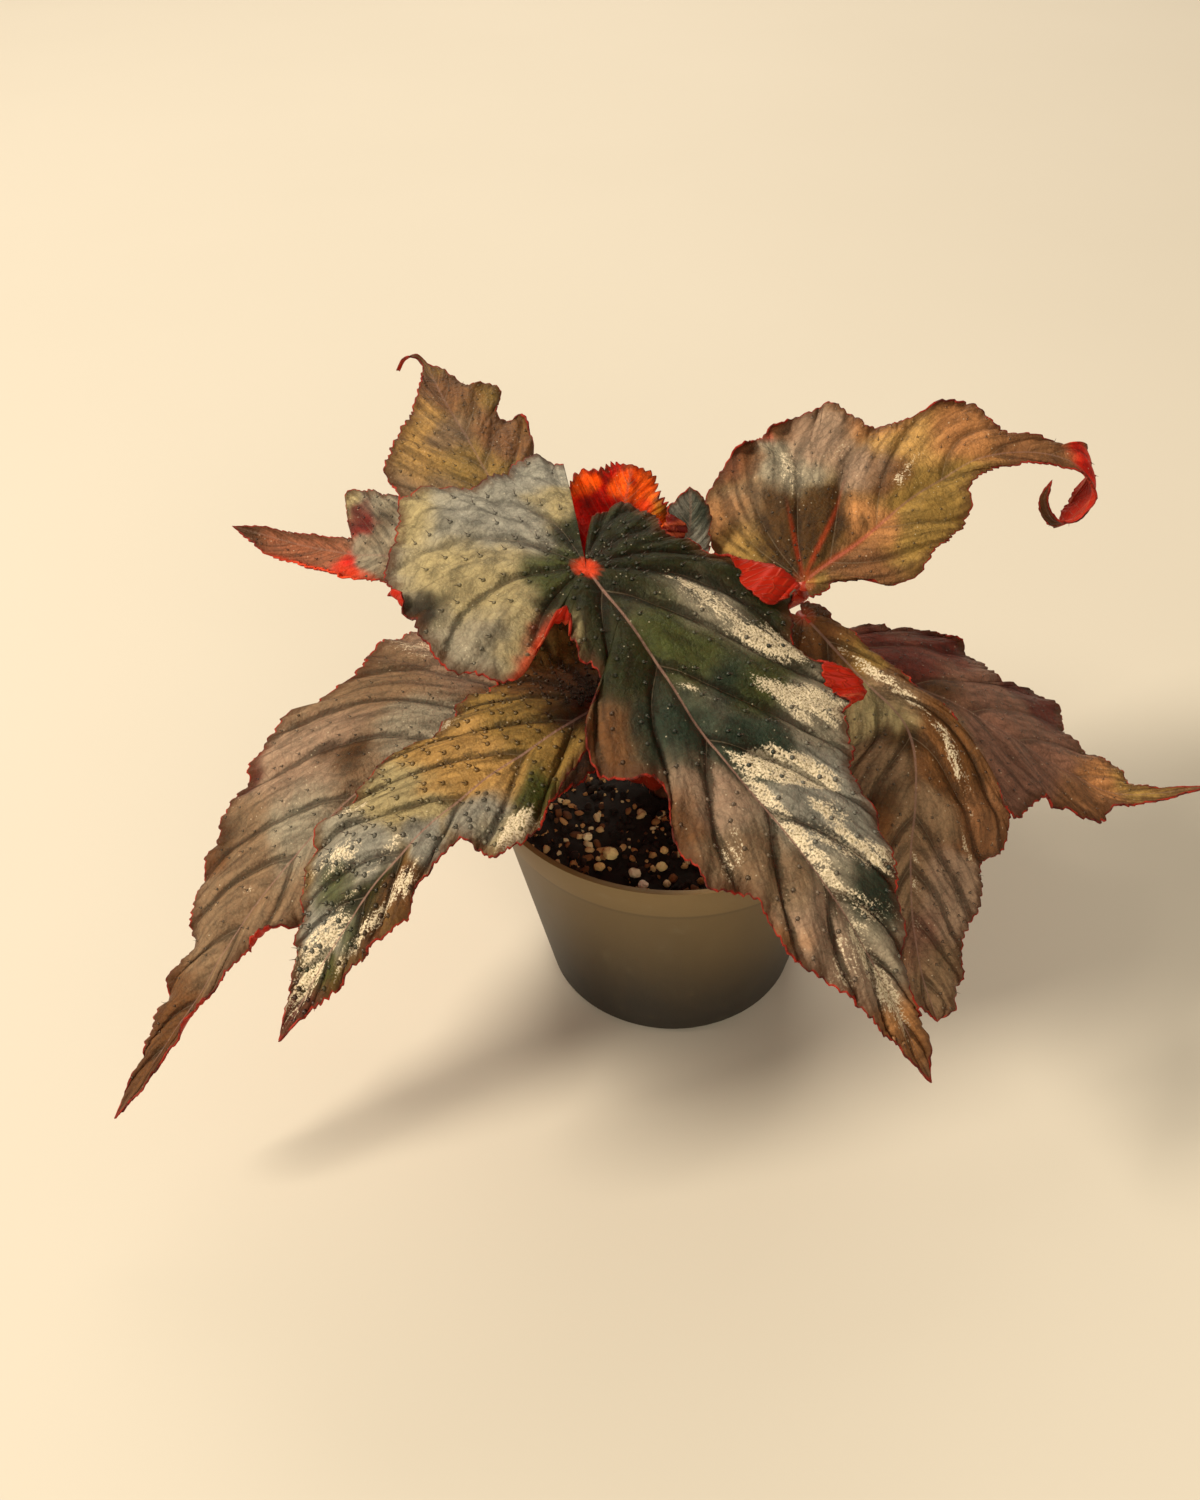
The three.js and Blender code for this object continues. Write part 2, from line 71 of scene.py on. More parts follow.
def srgb(code):
    """The linear colour of a code such as #7d8480."""
    parts = [int(code[k : k + 2], 16) / 255 for k in (1, 3, 5)]
    return (*(p / 12.92 if p < 0.04045 else ((p + 0.055) / 1.055) ** 2.4 for p in parts), 1)


class Shade:
    """A node's output. Sums, products and the like of it add Math nodes to its material."""

    def __init__(self, finish, output):
        self.finish, self.output = finish, output

    def math(self, operation, *values):
        return self.finish.node("Math", dict(enumerate(values)), operation=operation)

    def __add__(self, other):
        return self.math("ADD", self, other)

    def __sub__(self, other):
        return self.math("SUBTRACT", self, other)

    def __rsub__(self, other):
        return self.math("SUBTRACT", other, self)

    def __mul__(self, other):
        return self.math("MULTIPLY", self, other)

    def __abs__(self):
        return self.math("ABSOLUTE", self)

    __radd__ = __add__
    __rmul__ = __mul__


class Finish:
    """A material, made node by node."""

    def __init__(self, name):
        self.material = bpy.data.materials.new(name)
        self.material.use_nodes = True
        self.tree = self.material.node_tree
        self.tree.nodes.clear()

    def node(self, kind, sockets=None, output=0, stops=None, **settings):
        """The output of a new node, after its settings and its sockets' values or links."""
        made = self.tree.nodes.new("ShaderNode" + kind)
        for name, value in settings.items():
            setattr(made, name, value)
        for name, value in (sockets or {}).items():
            if isinstance(value, Shade):
                self.tree.links.new(value.output, made.inputs[name])
            else:
                made.inputs[name].default_value = value
        for k, (place, color) in enumerate(stops or []):
            stop = made.color_ramp.elements[k] if k < 2 else made.color_ramp.elements.new(place)
            stop.position, stop.color = place, color
        return Shade(self, made.outputs[output] if len(made.outputs) else None)

    def place(self):
        return self.node("TexCoord", output="Object")

    def attribute(self, name, output="Vector"):
        return self.node("Attribute", output=output, attribute_name=name)

    def parts(self, vector):
        """The three numbers of a vector."""
        split = self.node("SeparateXYZ", {"Vector": vector})
        return [Shade(self, split.output.node.outputs[k]) for k in range(3)]

    def stretched(self, vector, scale):
        return self.node("Mapping", {"Vector": vector, "Scale": scale})

    def noise(self, vector, scale, detail=3.0, roughness=0.55):
        sockets = {"Vector": vector, "Scale": scale, "Detail": detail, "Roughness": roughness}
        return self.node("TexNoise", sockets)

    def cells(self, vector, scale, feature="F1"):
        return self.node("TexVoronoi", {"Vector": vector, "Scale": scale}, feature=feature)

    def rise(self, value, low, high):
        """0 below low, 1 above high and a smooth slope between; falls if high is the lower."""
        sockets = {"Value": value, "From Min": low, "From Max": high}
        return self.node("MapRange", sockets, interpolation_type="SMOOTHSTEP")

    def blend(self, share, first, second):
        sockets = {"Factor": share, 6: first, 7: second}
        return self.node("Mix", sockets, output=2, data_type="RGBA", clamp_factor=True)

    def dimmed(self, color, share):
        """A color times a number, which may be more than 1."""
        return self.node("VectorMath", {0: color, "Scale": share}, operation="SCALE")

    def shader(self, color, roughness, height=None, depth=0.0, **constants):
        """A surface shader, with a bump of that depth in metres where a height is given."""
        sockets = {"Base Color": color, "Roughness": roughness}
        if height is not None:
            sockets["Normal"] = self.node("Bump", {"Height": height, "Distance": depth})
        sockets.update({name.replace("_", " "): value for name, value in constants.items()})
        return self.node("BsdfPrincipled", sockets)

    def done(self, shader):
        self.node("OutputMaterial", {"Surface": shader})
        return self.material


def make_camera():
    data = bpy.data.cameras.new("camera")
    data.sensor_width = SENSOR
    data.lens = FOCAL_LENGTH
    data.clip_start = CLIP_START
    camera = bpy.data.objects.new("camera", data)
    tip = Matrix.Rotation(math.radians(90 - CAMERA_PITCH), 4, "X")
    roll = Matrix.Rotation(math.radians(CAMERA_ROLL), 4, "Z")
    camera.matrix_world = Matrix.Translation(CAMERA_PLACE) @ tip @ roll
    bpy.context.scene.collection.objects.link(camera)
    bpy.context.scene.camera = camera


def make_lights():
    for number, (place, target, size, power, color) in enumerate(LIGHTS):
        data = bpy.data.lights.new(f"lamp_{number}", "AREA")
        data.shape = "DISK"
        data.size, data.energy, data.color = size, power, color
        lamp = bpy.data.objects.new(f"lamp_{number}", data)
        lamp.location = place
        lamp.rotation_euler = (Vector(target) - Vector(place)).to_track_quat("-Z", "Y").to_euler()
        bpy.context.scene.collection.objects.link(lamp)
    world = bpy.data.worlds.new("room")
    world.use_nodes = True
    world.node_tree.nodes["Background"].inputs["Color"].default_value = ROOM_COLOR
    world.node_tree.nodes["Background"].inputs["Strength"].default_value = ROOM_STRENGTH
    bpy.context.scene.world = world


def add_piece(name, bm, *materials):
    """A mesh object made of a bmesh."""
    mesh = bpy.data.meshes.new(name)
    bm.to_mesh(mesh)
    bm.free()
    for material in materials:
        mesh.materials.append(material)
    piece = bpy.data.objects.new(name, mesh)
    bpy.context.scene.collection.objects.link(piece)
    return piece


def floor_finish():
    finish = Finish("floor_paint")
    mottle = finish.noise(finish.place(), 3.0)
    color = finish.blend(mottle, srgb("#c1beb6"), srgb("#c6c3bc"))
    return finish.done(finish.shader(color, 0.75))


make_camera()
make_lights()
floor_bm = bmesh.new()
bmesh.ops.create_circle(floor_bm, cap_ends=True, segments=FLOOR_STEPS, radius=FLOOR_RADIUS)
floor = add_piece("floor", floor_bm, floor_finish())
bpy.context.scene.view_settings.view_transform = "Standard"

# ---- Nursery pot -----------------------------------------------------------
# A thin pot of grey-olive plastic, injection moulded: a tapered wall, a stepped rim band
# that stiffens the mouth, and six drain holes in the floor.
pot_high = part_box("nursery_pot")[1]
POT_HEIGHT = pot_high.z
RIM_RADIUS = pot_high.x
BASE_RADIUS = 36 * MM
POT_WALL = 1.6 * MM
POT_FLOOR = 2.2 * MM
FOOT_BEVEL = 2.5 * MM
BAND_HEIGHT = 11 * MM
BAND_STEP = 1.2 * MM
INNER_STEP = 2 * MM
# Where the rim band's painted highlight starts and is full, above the band's foot
BAND_HIGHLIGHT = (-1.4 * MM, 0.6 * MM)
# Heights over which the pot's painted shade fades from its darkest at the foot to none
PAINTED_SHADE_FOOT = (5 * MM, 75 * MM)
EDGE_ROUNDING = 0.45 * MM
ROUNDED_ANGLE = 25
SHARP_ANGLE = 35
POT_STEPS = 160
DRAIN_HOLES = 6
DRAIN_SIDES = 28
DRAIN_RADIUS = 4 * MM
DRAIN_CIRCLE = 24 * MM
BAND_FOOT = POT_HEIGHT - BAND_HEIGHT


def outer_wall(z):
    return BASE_RADIUS + (RIM_RADIUS - BAND_STEP - BASE_RADIUS) * z / POT_HEIGHT


def inner_wall(z):
    return outer_wall(z) - POT_WALL


def turned(profile, steps):
    """A bmesh lathed about +Z from (radius, height) pairs whose ends are on the axis."""
    bm = bmesh.new()
    corners = [bm.verts.new((radius, 0, height)) for radius, height in profile]
    edges = [bm.edges.new(pair) for pair in zip(corners, corners[1:])]
    bmesh.ops.spin(bm, geom=corners + edges, axis=(0, 0, 1), cent=(0, 0, 0),
                   angle=2 * math.pi, steps=steps, use_merge=True)
    bmesh.ops.remove_doubles(bm, verts=bm.verts, dist=1e-6)
    bmesh.ops.recalc_face_normals(bm, faces=bm.faces)
    return bm


def smooth(bm):
    for face in bm.faces:
        face.smooth = True
    return bm


def apply_modifiers(piece):
    """Puts the piece's modifiers into its mesh."""
    graph = bpy.context.evaluated_depsgraph_get()
    finished = bpy.data.meshes.new_from_object(piece.evaluated_get(graph))
    piece.modifiers.clear()
    piece.data = finished
    finished.name = piece.name


def make_pot():
    rim_inner = inner_wall(POT_HEIGHT) + BAND_STEP
    bm = turned([
        (0, 0),
        (BASE_RADIUS - FOOT_BEVEL, 0),
        (BASE_RADIUS - FOOT_BEVEL * 0.3, FOOT_BEVEL * 0.3),
        (outer_wall(FOOT_BEVEL), FOOT_BEVEL),
        (outer_wall(BAND_FOOT - BAND_STEP), BAND_FOOT - BAND_STEP),
        (outer_wall(BAND_FOOT) + BAND_STEP, BAND_FOOT + BAND_STEP),
        (RIM_RADIUS, POT_HEIGHT),
        (rim_inner, POT_HEIGHT),
        (inner_wall(BAND_FOOT) + BAND_STEP, BAND_FOOT + INNER_STEP),
        (inner_wall(BAND_FOOT), BAND_FOOT),
        (inner_wall(POT_FLOOR + MM), POT_FLOOR + MM),
        (inner_wall(POT_FLOOR) - MM, POT_FLOOR),
        (0, POT_FLOOR),
    ], POT_STEPS)
    pot = add_piece("pot", bm, pot_finish())
    drills = bmesh.new()
    for k in range(DRAIN_HOLES):
        bearing = (k + 0.5) * 2 * math.pi / DRAIN_HOLES
        x, y = DRAIN_CIRCLE * math.cos(bearing), DRAIN_CIRCLE * math.sin(bearing)
        bmesh.ops.create_cone(drills, cap_ends=True, segments=DRAIN_SIDES, radius1=DRAIN_RADIUS,
                              radius2=DRAIN_RADIUS, depth=4 * POT_FLOOR,
                              matrix=Matrix.Translation((x, y, 0)))
    drill = add_piece("drill", drills)
    cut = pot.modifiers.new("drain_holes", "BOOLEAN")
    cut.operation, cut.object = "DIFFERENCE", drill
    rounding = pot.modifiers.new("moulded_edges", "BEVEL")
    rounding.width, rounding.segments = EDGE_ROUNDING, 3
    rounding.angle_limit = math.radians(ROUNDED_ANGLE)
    apply_modifiers(pot)
    bpy.data.objects.remove(drill)
    pot.data.set_sharp_from_angle(angle=math.radians(SHARP_ANGLE))
    return pot


def pot_finish():
    finish = Finish("pot_plastic")
    place = finish.place()
    mould = finish.noise(finish.stretched(place, (1, 1, 0.35)), 60.0, 4.0)
    grain = finish.noise(place, 2600.0, 2.0)
    dust = finish.rise(finish.noise(place, 140.0, 6.0, 0.7), 0.55, 0.8)
    level = finish.parts(place)[2]
    # Painted shade: the plastic is painted darker towards the foot, where the leaves' shade falls
    height = finish.rise(level, *PAINTED_SHADE_FOOT)
    color = finish.blend(height + (mould - 0.5) * 0.3, srgb("#1e170c"), srgb("#6f5b37"))
    color = finish.blend(dust * 0.35, color, srgb("#857a63"))
    # Painted light and shadow: the rim band is painted paler, as if it caught more light, and a painted
    # shadow line runs just under it
    band = finish.rise(level, BAND_FOOT + BAND_HIGHLIGHT[0], BAND_FOOT + BAND_HIGHLIGHT[1])
    under = finish.rise(abs(level - (BAND_FOOT - BAND_STEP)), BAND_STEP, 0)
    color = finish.dimmed(color, 0.86 + band * 0.2 - under * 0.2)
    roughness = 0.5 + mould * 0.12 + dust * 0.15
    return finish.done(finish.shader(color, roughness, grain, 0.05 * MM))


pot = make_pot()
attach(pot, "root")
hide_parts("nursery_pot")

# ---- Potting mix -----------------------------------------------------------
# Dark peaty potting mix, pressed into the pot to a finger's width below the rim: fine
# crumbs, bark chips and tan grit on an uneven surface that rises a little to the crown.
SOIL_LEVEL = 65 * MM
SOIL_DOME = 1.5 * MM
SOIL_FOOT_BEVEL = 1.5 * MM
FIT_GAP = 0.3 * MM
CROWN_RADIUS = 7 * MM
CROWN_FOOT = 54 * MM
SOIL_RINGS = 44
SOIL_STEPS = 150
SOIL_ROUGHNESS = 0.9 * MM
COARSE_LUMP = 4 * MM
FINE_LUMP = 1.5 * MM
CRUMB_COUNT = 1500
CRUMB_SEED = 7
CRUMB_RADII = (0.35 * MM, 1.25 * MM)
CRUMB_LUMP = 0.7 * MM
SOIL_EDGE = inner_wall(SOIL_LEVEL - SOIL_DOME) - FIT_GAP


def soil_height(x, y):
    share = math.hypot(x, y) / SOIL_EDGE
    return SOIL_LEVEL - SOIL_DOME * share * share


def soil_lump(x, y):
    """How far the loose surface stands above or below its even height."""
    coarse = noise.noise(Vector((x, y, 0)) / COARSE_LUMP)
    fine = noise.noise(Vector((x, y, 0)) / FINE_LUMP)
    return SOIL_ROUGHNESS * (0.7 * coarse + 0.4 * fine - 0.4)


def make_soil():
    pocket = CROWN_RADIUS + FIT_GAP
    floor_level = POT_FLOOR + FIT_GAP
    top = [SOIL_EDGE + (pocket - SOIL_EDGE) * k / SOIL_RINGS for k in range(SOIL_RINGS + 1)]
    bm = turned([
        (0, floor_level),
        (inner_wall(floor_level) - SOIL_FOOT_BEVEL, floor_level),
        (inner_wall(floor_level + SOIL_FOOT_BEVEL) - FIT_GAP, floor_level + SOIL_FOOT_BEVEL),
        *((radius, soil_height(radius, 0)) for radius in top),
        (pocket, CROWN_FOOT),
        (0, CROWN_FOOT),
    ], SOIL_STEPS)
    for corner in bm.verts:
        if corner.co.z > CROWN_FOOT + FIT_GAP and corner.co.xy.length > pocket:
            corner.co.z += soil_lump(corner.co.x, corner.co.y)
    return add_piece("soil", smooth(bm), soil_finish(loose=False))


def scattered(template, matrices):
    """A bmesh of copies of a small bmesh, one for each matrix."""
    mesh = bpy.data.meshes.new("template")
    template.to_mesh(mesh)
    template.free()
    bm = bmesh.new()
    for matrix in matrices:
        copy = mesh.copy()
        copy.transform(matrix)
        bm.from_mesh(copy)
        bpy.data.meshes.remove(copy)
    bpy.data.meshes.remove(mesh)
    return bm


def set_points(mesh, name, kind, values):
    """Gives the mesh's points an attribute: a number, a vector or a colour each."""
    field = {"FLOAT": "value", "FLOAT_VECTOR": "vector", "FLOAT_COLOR": "color"}[kind]
    attribute = mesh.attributes.new(name, kind, "POINT")
    attribute.data.foreach_set(field, np.asarray(values, np.float32).ravel())


def make_crumbs():
    """Rounded lumps strewn over the soil, more of them small than large."""
    chance = random.Random(CRUMB_SEED)
    matrices = []
    for _ in range(CRUMB_COUNT):
        size = CRUMB_RADII[0] + (CRUMB_RADII[1] - CRUMB_RADII[0]) * chance.random() ** 2.2
        away = CROWN_RADIUS + size + (SOIL_EDGE - CROWN_RADIUS - 2 * size) * chance.random() ** 0.5
        turn = chance.uniform(0, 2 * math.pi)
        x, y = away * math.cos(turn), away * math.sin(turn)
        place = Matrix.Translation((x, y, soil_height(x, y) + soil_lump(x, y) + size * 0.3))
        axis = Vector((chance.uniform(-1, 1), chance.uniform(-1, 1), chance.uniform(-1, 1))).normalized()
        shape = Matrix.Diagonal((size * chance.uniform(0.8, 1.7), size, size * chance.uniform(0.5, 1.0), 1))
        matrices.append(place @ Matrix.Rotation(chance.uniform(0, math.pi), 4, axis) @ shape)
    stone = bmesh.new()
    bmesh.ops.create_icosphere(stone, subdivisions=2, radius=1)
    corners = len(stone.verts)
    bm = scattered(stone, matrices)
    for corner in bm.verts:
        corner.co += noise.noise_vector(corner.co / CRUMB_LUMP) * CRUMB_RADII[0]
    crumbs = add_piece("soil_crumbs", smooth(bm), soil_finish(loose=True))
    tones = [chance.random() for _ in matrices]
    set_points(crumbs.data, "tone", "FLOAT", np.repeat(tones, corners))
    return crumbs


def soil_finish(loose):
    """Damp dark mix. Loose crumbs range from nearly black to cream by their tone."""
    finish = Finish("potting_mix")
    place = finish.place()
    damp = finish.noise(place, 180.0, 5.0, 0.7)
    color = finish.blend(damp, srgb("#070504"), srgb("#1e140b"))
    if loose:
        tone = finish.attribute("tone", "Fac")
        kinds = finish.node("ValToRGB", {"Fac": tone}, stops=[
            (0.0, srgb("#0a0604")), (0.5, srgb("#2c180d")), (0.64, srgb("#8a5830")),
            (0.77, srgb("#cc985e")), (0.89, srgb("#f0d094")), (1.0, srgb("#fcecbc"))])
        color = finish.blend(damp * 0.3, kinds, color)
    grit = finish.noise(place, 1500.0, 4.0, 0.7)
    return finish.done(finish.shader(color, 0.82 + damp * 0.15, grit, 0.4 * MM))


for piece in (make_soil(), make_crumbs()):
    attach(piece, "root")
    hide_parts("potting_soil")

# ---- Perlite ---------------------------------------------------------------
# Grains of expanded volcanic glass in the mix: cream, brittle, pitted and light. They lie
# loose on the soil, each where its node is.
PERLITE_COUNT = 12
PERLITE_PITS = 0.35
PERLITE_TINTS = ("#fbeec0", "#fae6a6", "#f4d690", "#fcf2d0", "#f4ead6")


def perlite_finish(tint):
    finish = Finish("perlite")
    place = finish.place()
    pits = finish.cells(place, 1600.0)
    stain = finish.rise(finish.noise(place, 420.0, 4.0), 0.45, 0.75)
    color = finish.blend(stain * 0.25, srgb(tint), srgb("#9c7d52"))
    return finish.done(finish.shader(color, 0.85, pits, 0.25 * MM))


def make_perlite(number):
    low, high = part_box(f"perlite_grain_{number}")
    bm = bmesh.new()
    place = Matrix.Translation((low + high) / 2) @ Matrix.Diagonal((*(high - low) / 2, 1))
    bmesh.ops.create_icosphere(bm, subdivisions=4, radius=1)
    for corner in bm.verts:
        lump = noise.noise(corner.co * 1.3 + Vector((number * 7, 0, 0)))
        pit = noise.noise(corner.co * 4 + Vector((0, number * 7, 0)))
        corner.co *= 0.92 + 0.2 * lump - PERLITE_PITS * max(0, pit - 0.1)
    bmesh.ops.transform(bm, matrix=place, verts=bm.verts)
    tint = PERLITE_TINTS[number % len(PERLITE_TINTS)]
    return add_piece(f"perlite_{number}", smooth(bm), perlite_finish(tint))


for number in range(1, PERLITE_COUNT + 1):
    grain = make_perlite(number)
    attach(grain, "root")
    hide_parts(f"perlite_grain_{number}")

# ---- Crown, stipules and bud -----------------------------------------------
# The short thick stem that every stalk grows from, brown and knobbly with leaf scars. Thin
# papery stipules stand against it, and the next leaf is still rolled up on its top.
CROWN_SHOULDER = 80 * MM
CROWN_TOP = 86 * MM
CROWN_STEPS = 64
CROWN_RINGS = 26
CROWN_KNOBS = 1.1 * MM
KNOB_SIZE = 3.5 * MM
SCAR_PITCH = 1.4 * MM
STIPULES = [
    # bearing, height of the foot, length
    (322, 72, 10),
    (292, 77, 11),
    (264, 71, 10),
]
STIPULE_RADIUS = 2.4 * MM
STIPULE_LEAN = 22
STIPULE_THICKNESS = 0.25 * MM
BUD_LENGTH = 15 * MM
BUD_RADIUS = 2.2 * MM
BUD_TIP_RADIUS = 0.15 * MM
BUD_TURNS = 1.5


def crown_finish():
    finish = Finish("crown_skin")
    place = finish.place()
    bark = finish.noise(finish.stretched(place, (1, 1, 2.5)), 320.0, 5.0, 0.65)
    color = finish.blend(bark, srgb("#3a1d12"), srgb("#8a5536"))
    return finish.done(finish.shader(color, 0.7, bark, 0.5 * MM))


def make_crown():
    profile = [(0, CROWN_FOOT + FIT_GAP)]
    for k in range(CROWN_RINGS + 1):
        z = CROWN_FOOT + FIT_GAP + (CROWN_TOP - CROWN_FOOT - FIT_GAP) * k / CROWN_RINGS
        foot = min(1, 0.7 + 0.3 * (z - CROWN_FOOT) / (5 * MM))
        head = max(0, (z - CROWN_SHOULDER) / (CROWN_TOP - CROWN_SHOULDER))
        profile.append((CROWN_RADIUS * min(foot, 1 - 0.65 * head ** 1.6), z))
    profile.append((0, CROWN_TOP))
    bm = turned(profile, CROWN_STEPS)
    for corner in bm.verts:
        if corner.co.xy.length > MM:
            knob = noise.noise(corner.co / KNOB_SIZE) - 0.45
            scar = -0.35 * abs(math.sin(corner.co.z / SCAR_PITCH))
            corner.co.xy *= 1 + (knob + scar) * CROWN_KNOBS / CROWN_RADIUS
    return add_piece("crown_stem", smooth(bm), crown_finish())


def make_stipule(number, bearing, foot, length):
    bm = bmesh.new()
    bmesh.ops.create_grid(bm, x_segments=10, y_segments=24, size=0.5)
    for corner in bm.verts:
        across, up = 2 * corner.co.x, corner.co.y + 0.5
        half = STIPULE_RADIUS * (1 - up) ** 0.8
        curl = 0.9 * MM * across * across * (1 - up) + 1.2 * MM * up ** 3
        corner.co = Vector((curl, half * across, up * length * MM))
    piece = add_piece(f"stipule_scale_{number}", smooth(bm), stipule_finish())
    thick = piece.modifiers.new("thickness", "SOLIDIFY")
    thick.thickness, thick.offset = STIPULE_THICKNESS, 0
    apply_modifiers(piece)
    lean = Matrix.Rotation(math.radians(STIPULE_LEAN), 4, "Y")
    out = Matrix.Translation((CROWN_RADIUS + 1.2 * MM, 0, foot * MM))
    piece.data.transform(Matrix.Rotation(math.radians(bearing), 4, "Z") @ out @ lean)
    return piece


def stipule_finish():
    finish = Finish("stipule_skin")
    place = finish.place()
    ribs = finish.noise(finish.stretched(place, (1, 1, 0.15)), 900.0, 3.0)
    color = finish.blend(ribs, srgb("#8c3c22"), srgb("#c4805a"))
    return finish.done(finish.shader(color, 0.55, ribs, 0.2 * MM))


def standing_cone(segments, foot_radius, top_radius, height):
    """A bmesh of a cone with its foot at the origin."""
    bm = bmesh.new()
    middle = Matrix.Translation((0, 0, height / 2))
    bmesh.ops.create_cone(bm, cap_ends=True, segments=segments, radius1=foot_radius,
                          radius2=top_radius, depth=height, matrix=middle)
    return bm


def make_bud():
    bm = standing_cone(40, BUD_RADIUS, BUD_TIP_RADIUS, BUD_LENGTH)
    sides = [edge for edge in bm.edges if abs(edge.verts[0].co.z - edge.verts[1].co.z) > MM]
    bmesh.ops.subdivide_edges(bm, edges=sides, cuts=30, use_grid_fill=True)
    for corner in bm.verts:
        share = corner.co.z / BUD_LENGTH
        turn = math.atan2(corner.co.y, corner.co.x) / (2 * math.pi) + BUD_TURNS * share
        belly = 0.62 + 0.5 * math.sin(math.pi * share ** 0.8)
        corner.co.xy *= belly * (0.86 + 0.14 * (turn % 1))
    bmesh.ops.translate(bm, verts=bm.verts, vec=(0, 0, CROWN_TOP))
    return add_piece("rolled_leaf", smooth(bm), bud_finish())


def bud_finish():
    finish = Finish("bud_skin")
    place = finish.place()
    fuzz = finish.noise(finish.stretched(place, (1, 1, 0.2)), 1200.0, 3.0)
    color = finish.blend(fuzz, srgb("#7e1a12"), srgb("#b4513a"))
    return finish.done(finish.shader(color, 0.5, fuzz, 0.15 * MM))


crown = make_crown()
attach(crown, "root")
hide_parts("crown")
for number, (bearing, foot, length) in enumerate(STIPULES, 1):
    stipule = make_stipule(number, bearing, foot, length)
    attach(stipule, "root")
    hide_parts(f"stipule_{number}")
bud = make_bud()
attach(bud, "root")
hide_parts("leaf_bud")

# ---- Leaf blades -----------------------------------------------------------
# Long-pointed lopsided leaves: leathery sheets quilted between sunken veins, with bristles,
# a saw-toothed red rim and margins that roll over in places and show the crimson underside.
# A blade is worked out in millimetres and put into metres at the end, so its lengths here are
# in millimetres where they don't say MM. A share goes round a blade from its notch to its tip.
MIDRIB_SAMPLES = 240
FAN_ANGLE = 45
FAN_SHARE = 0.36
SHARES = np.linspace(0, 1, 6001)
SHARE_STEP = 1e-3
BLADE_THICKNESS = 0.55 * MM
TOOTH_PITCH = 2.6
TOOTH_HEIGHT = 1.0
TOOTH_RISE, TOOTH_FALL = 0.72, 0.28
VEIN_SHARES = (-0.07, 0.025, 0.11, 0.2, 0.3, 0.4, 0.5, 0.6, 0.695, 0.78, 0.86, 0.93, 1.02)
VEIN_BOW = 0.07
VEIN_UNEVENNESS = 0.014
QUILTING = 0.19
QUILTING_LIMIT = 2.4
GROOVE_WIDTH = 2.2
RUFFLE_LENGTH = 15
RIPPLE_MIDDLE = 1.7
FOLD_LENGTH = 4.0
MERGE_REACH = 0.002 * MM
SPOT_REACH_SQUARED, SPOT_SOFTNESS = 13, 8
GROUND_WEIGHT = 0.015
BORDER_WANDER, BORDER_FRAY = 2.2, 1.1
NOISE_STRIDE = 40.0
SKIN_BUMP = 0.3 * MM
DENSE_PITCH = 6
MOUND_RADIUS = 0.6 * MM
MOUND_HEIGHT = 0.4 * MM
HAIR_RADIUS = 0.14 * MM
HAIR_LENGTH = 1.5 * MM
HAIR_COLOR = srgb("#2e1a10")
PEWTER, SLATE, SAGE, OLIVE = srgb("#807a6b"), srgb("#7d7c74"), srgb("#928663"), srgb("#7d6535")
DEEP_GREEN, TEAL, MOSS, CHARCOAL = srgb("#182006"), srgb("#1a2b20"), srgb("#363e1a"), srgb("#1c1b13")
BRONZE, TAUPE, LILAC, MAROON = srgb("#583a1f"), srgb("#6e5a45"), srgb("#85705f"), srgb("#36160f")
GOLD, CREAM, UMBER, WINE = srgb("#9c7b48"), srgb("#eee0c6"), srgb("#38250e"), srgb("#4a1c16")
COPPER, RUSSET, PLUM = srgb("#936640"), srgb("#6b4a30"), srgb("#66493d")
RIM_RED, JUNCTION_RED, CRIMSON = srgb("#9c291b"), srgb("#d8431f"), srgb("#b3140a")
BRICK, ORANGE, OCHRE = srgb("#845038"), srgb("#e0560c"), srgb("#96641c")
GARNET, CLARET, TAN = srgb("#7e0c06"), srgb("#5a0906"), srgb("#ab7a4c")
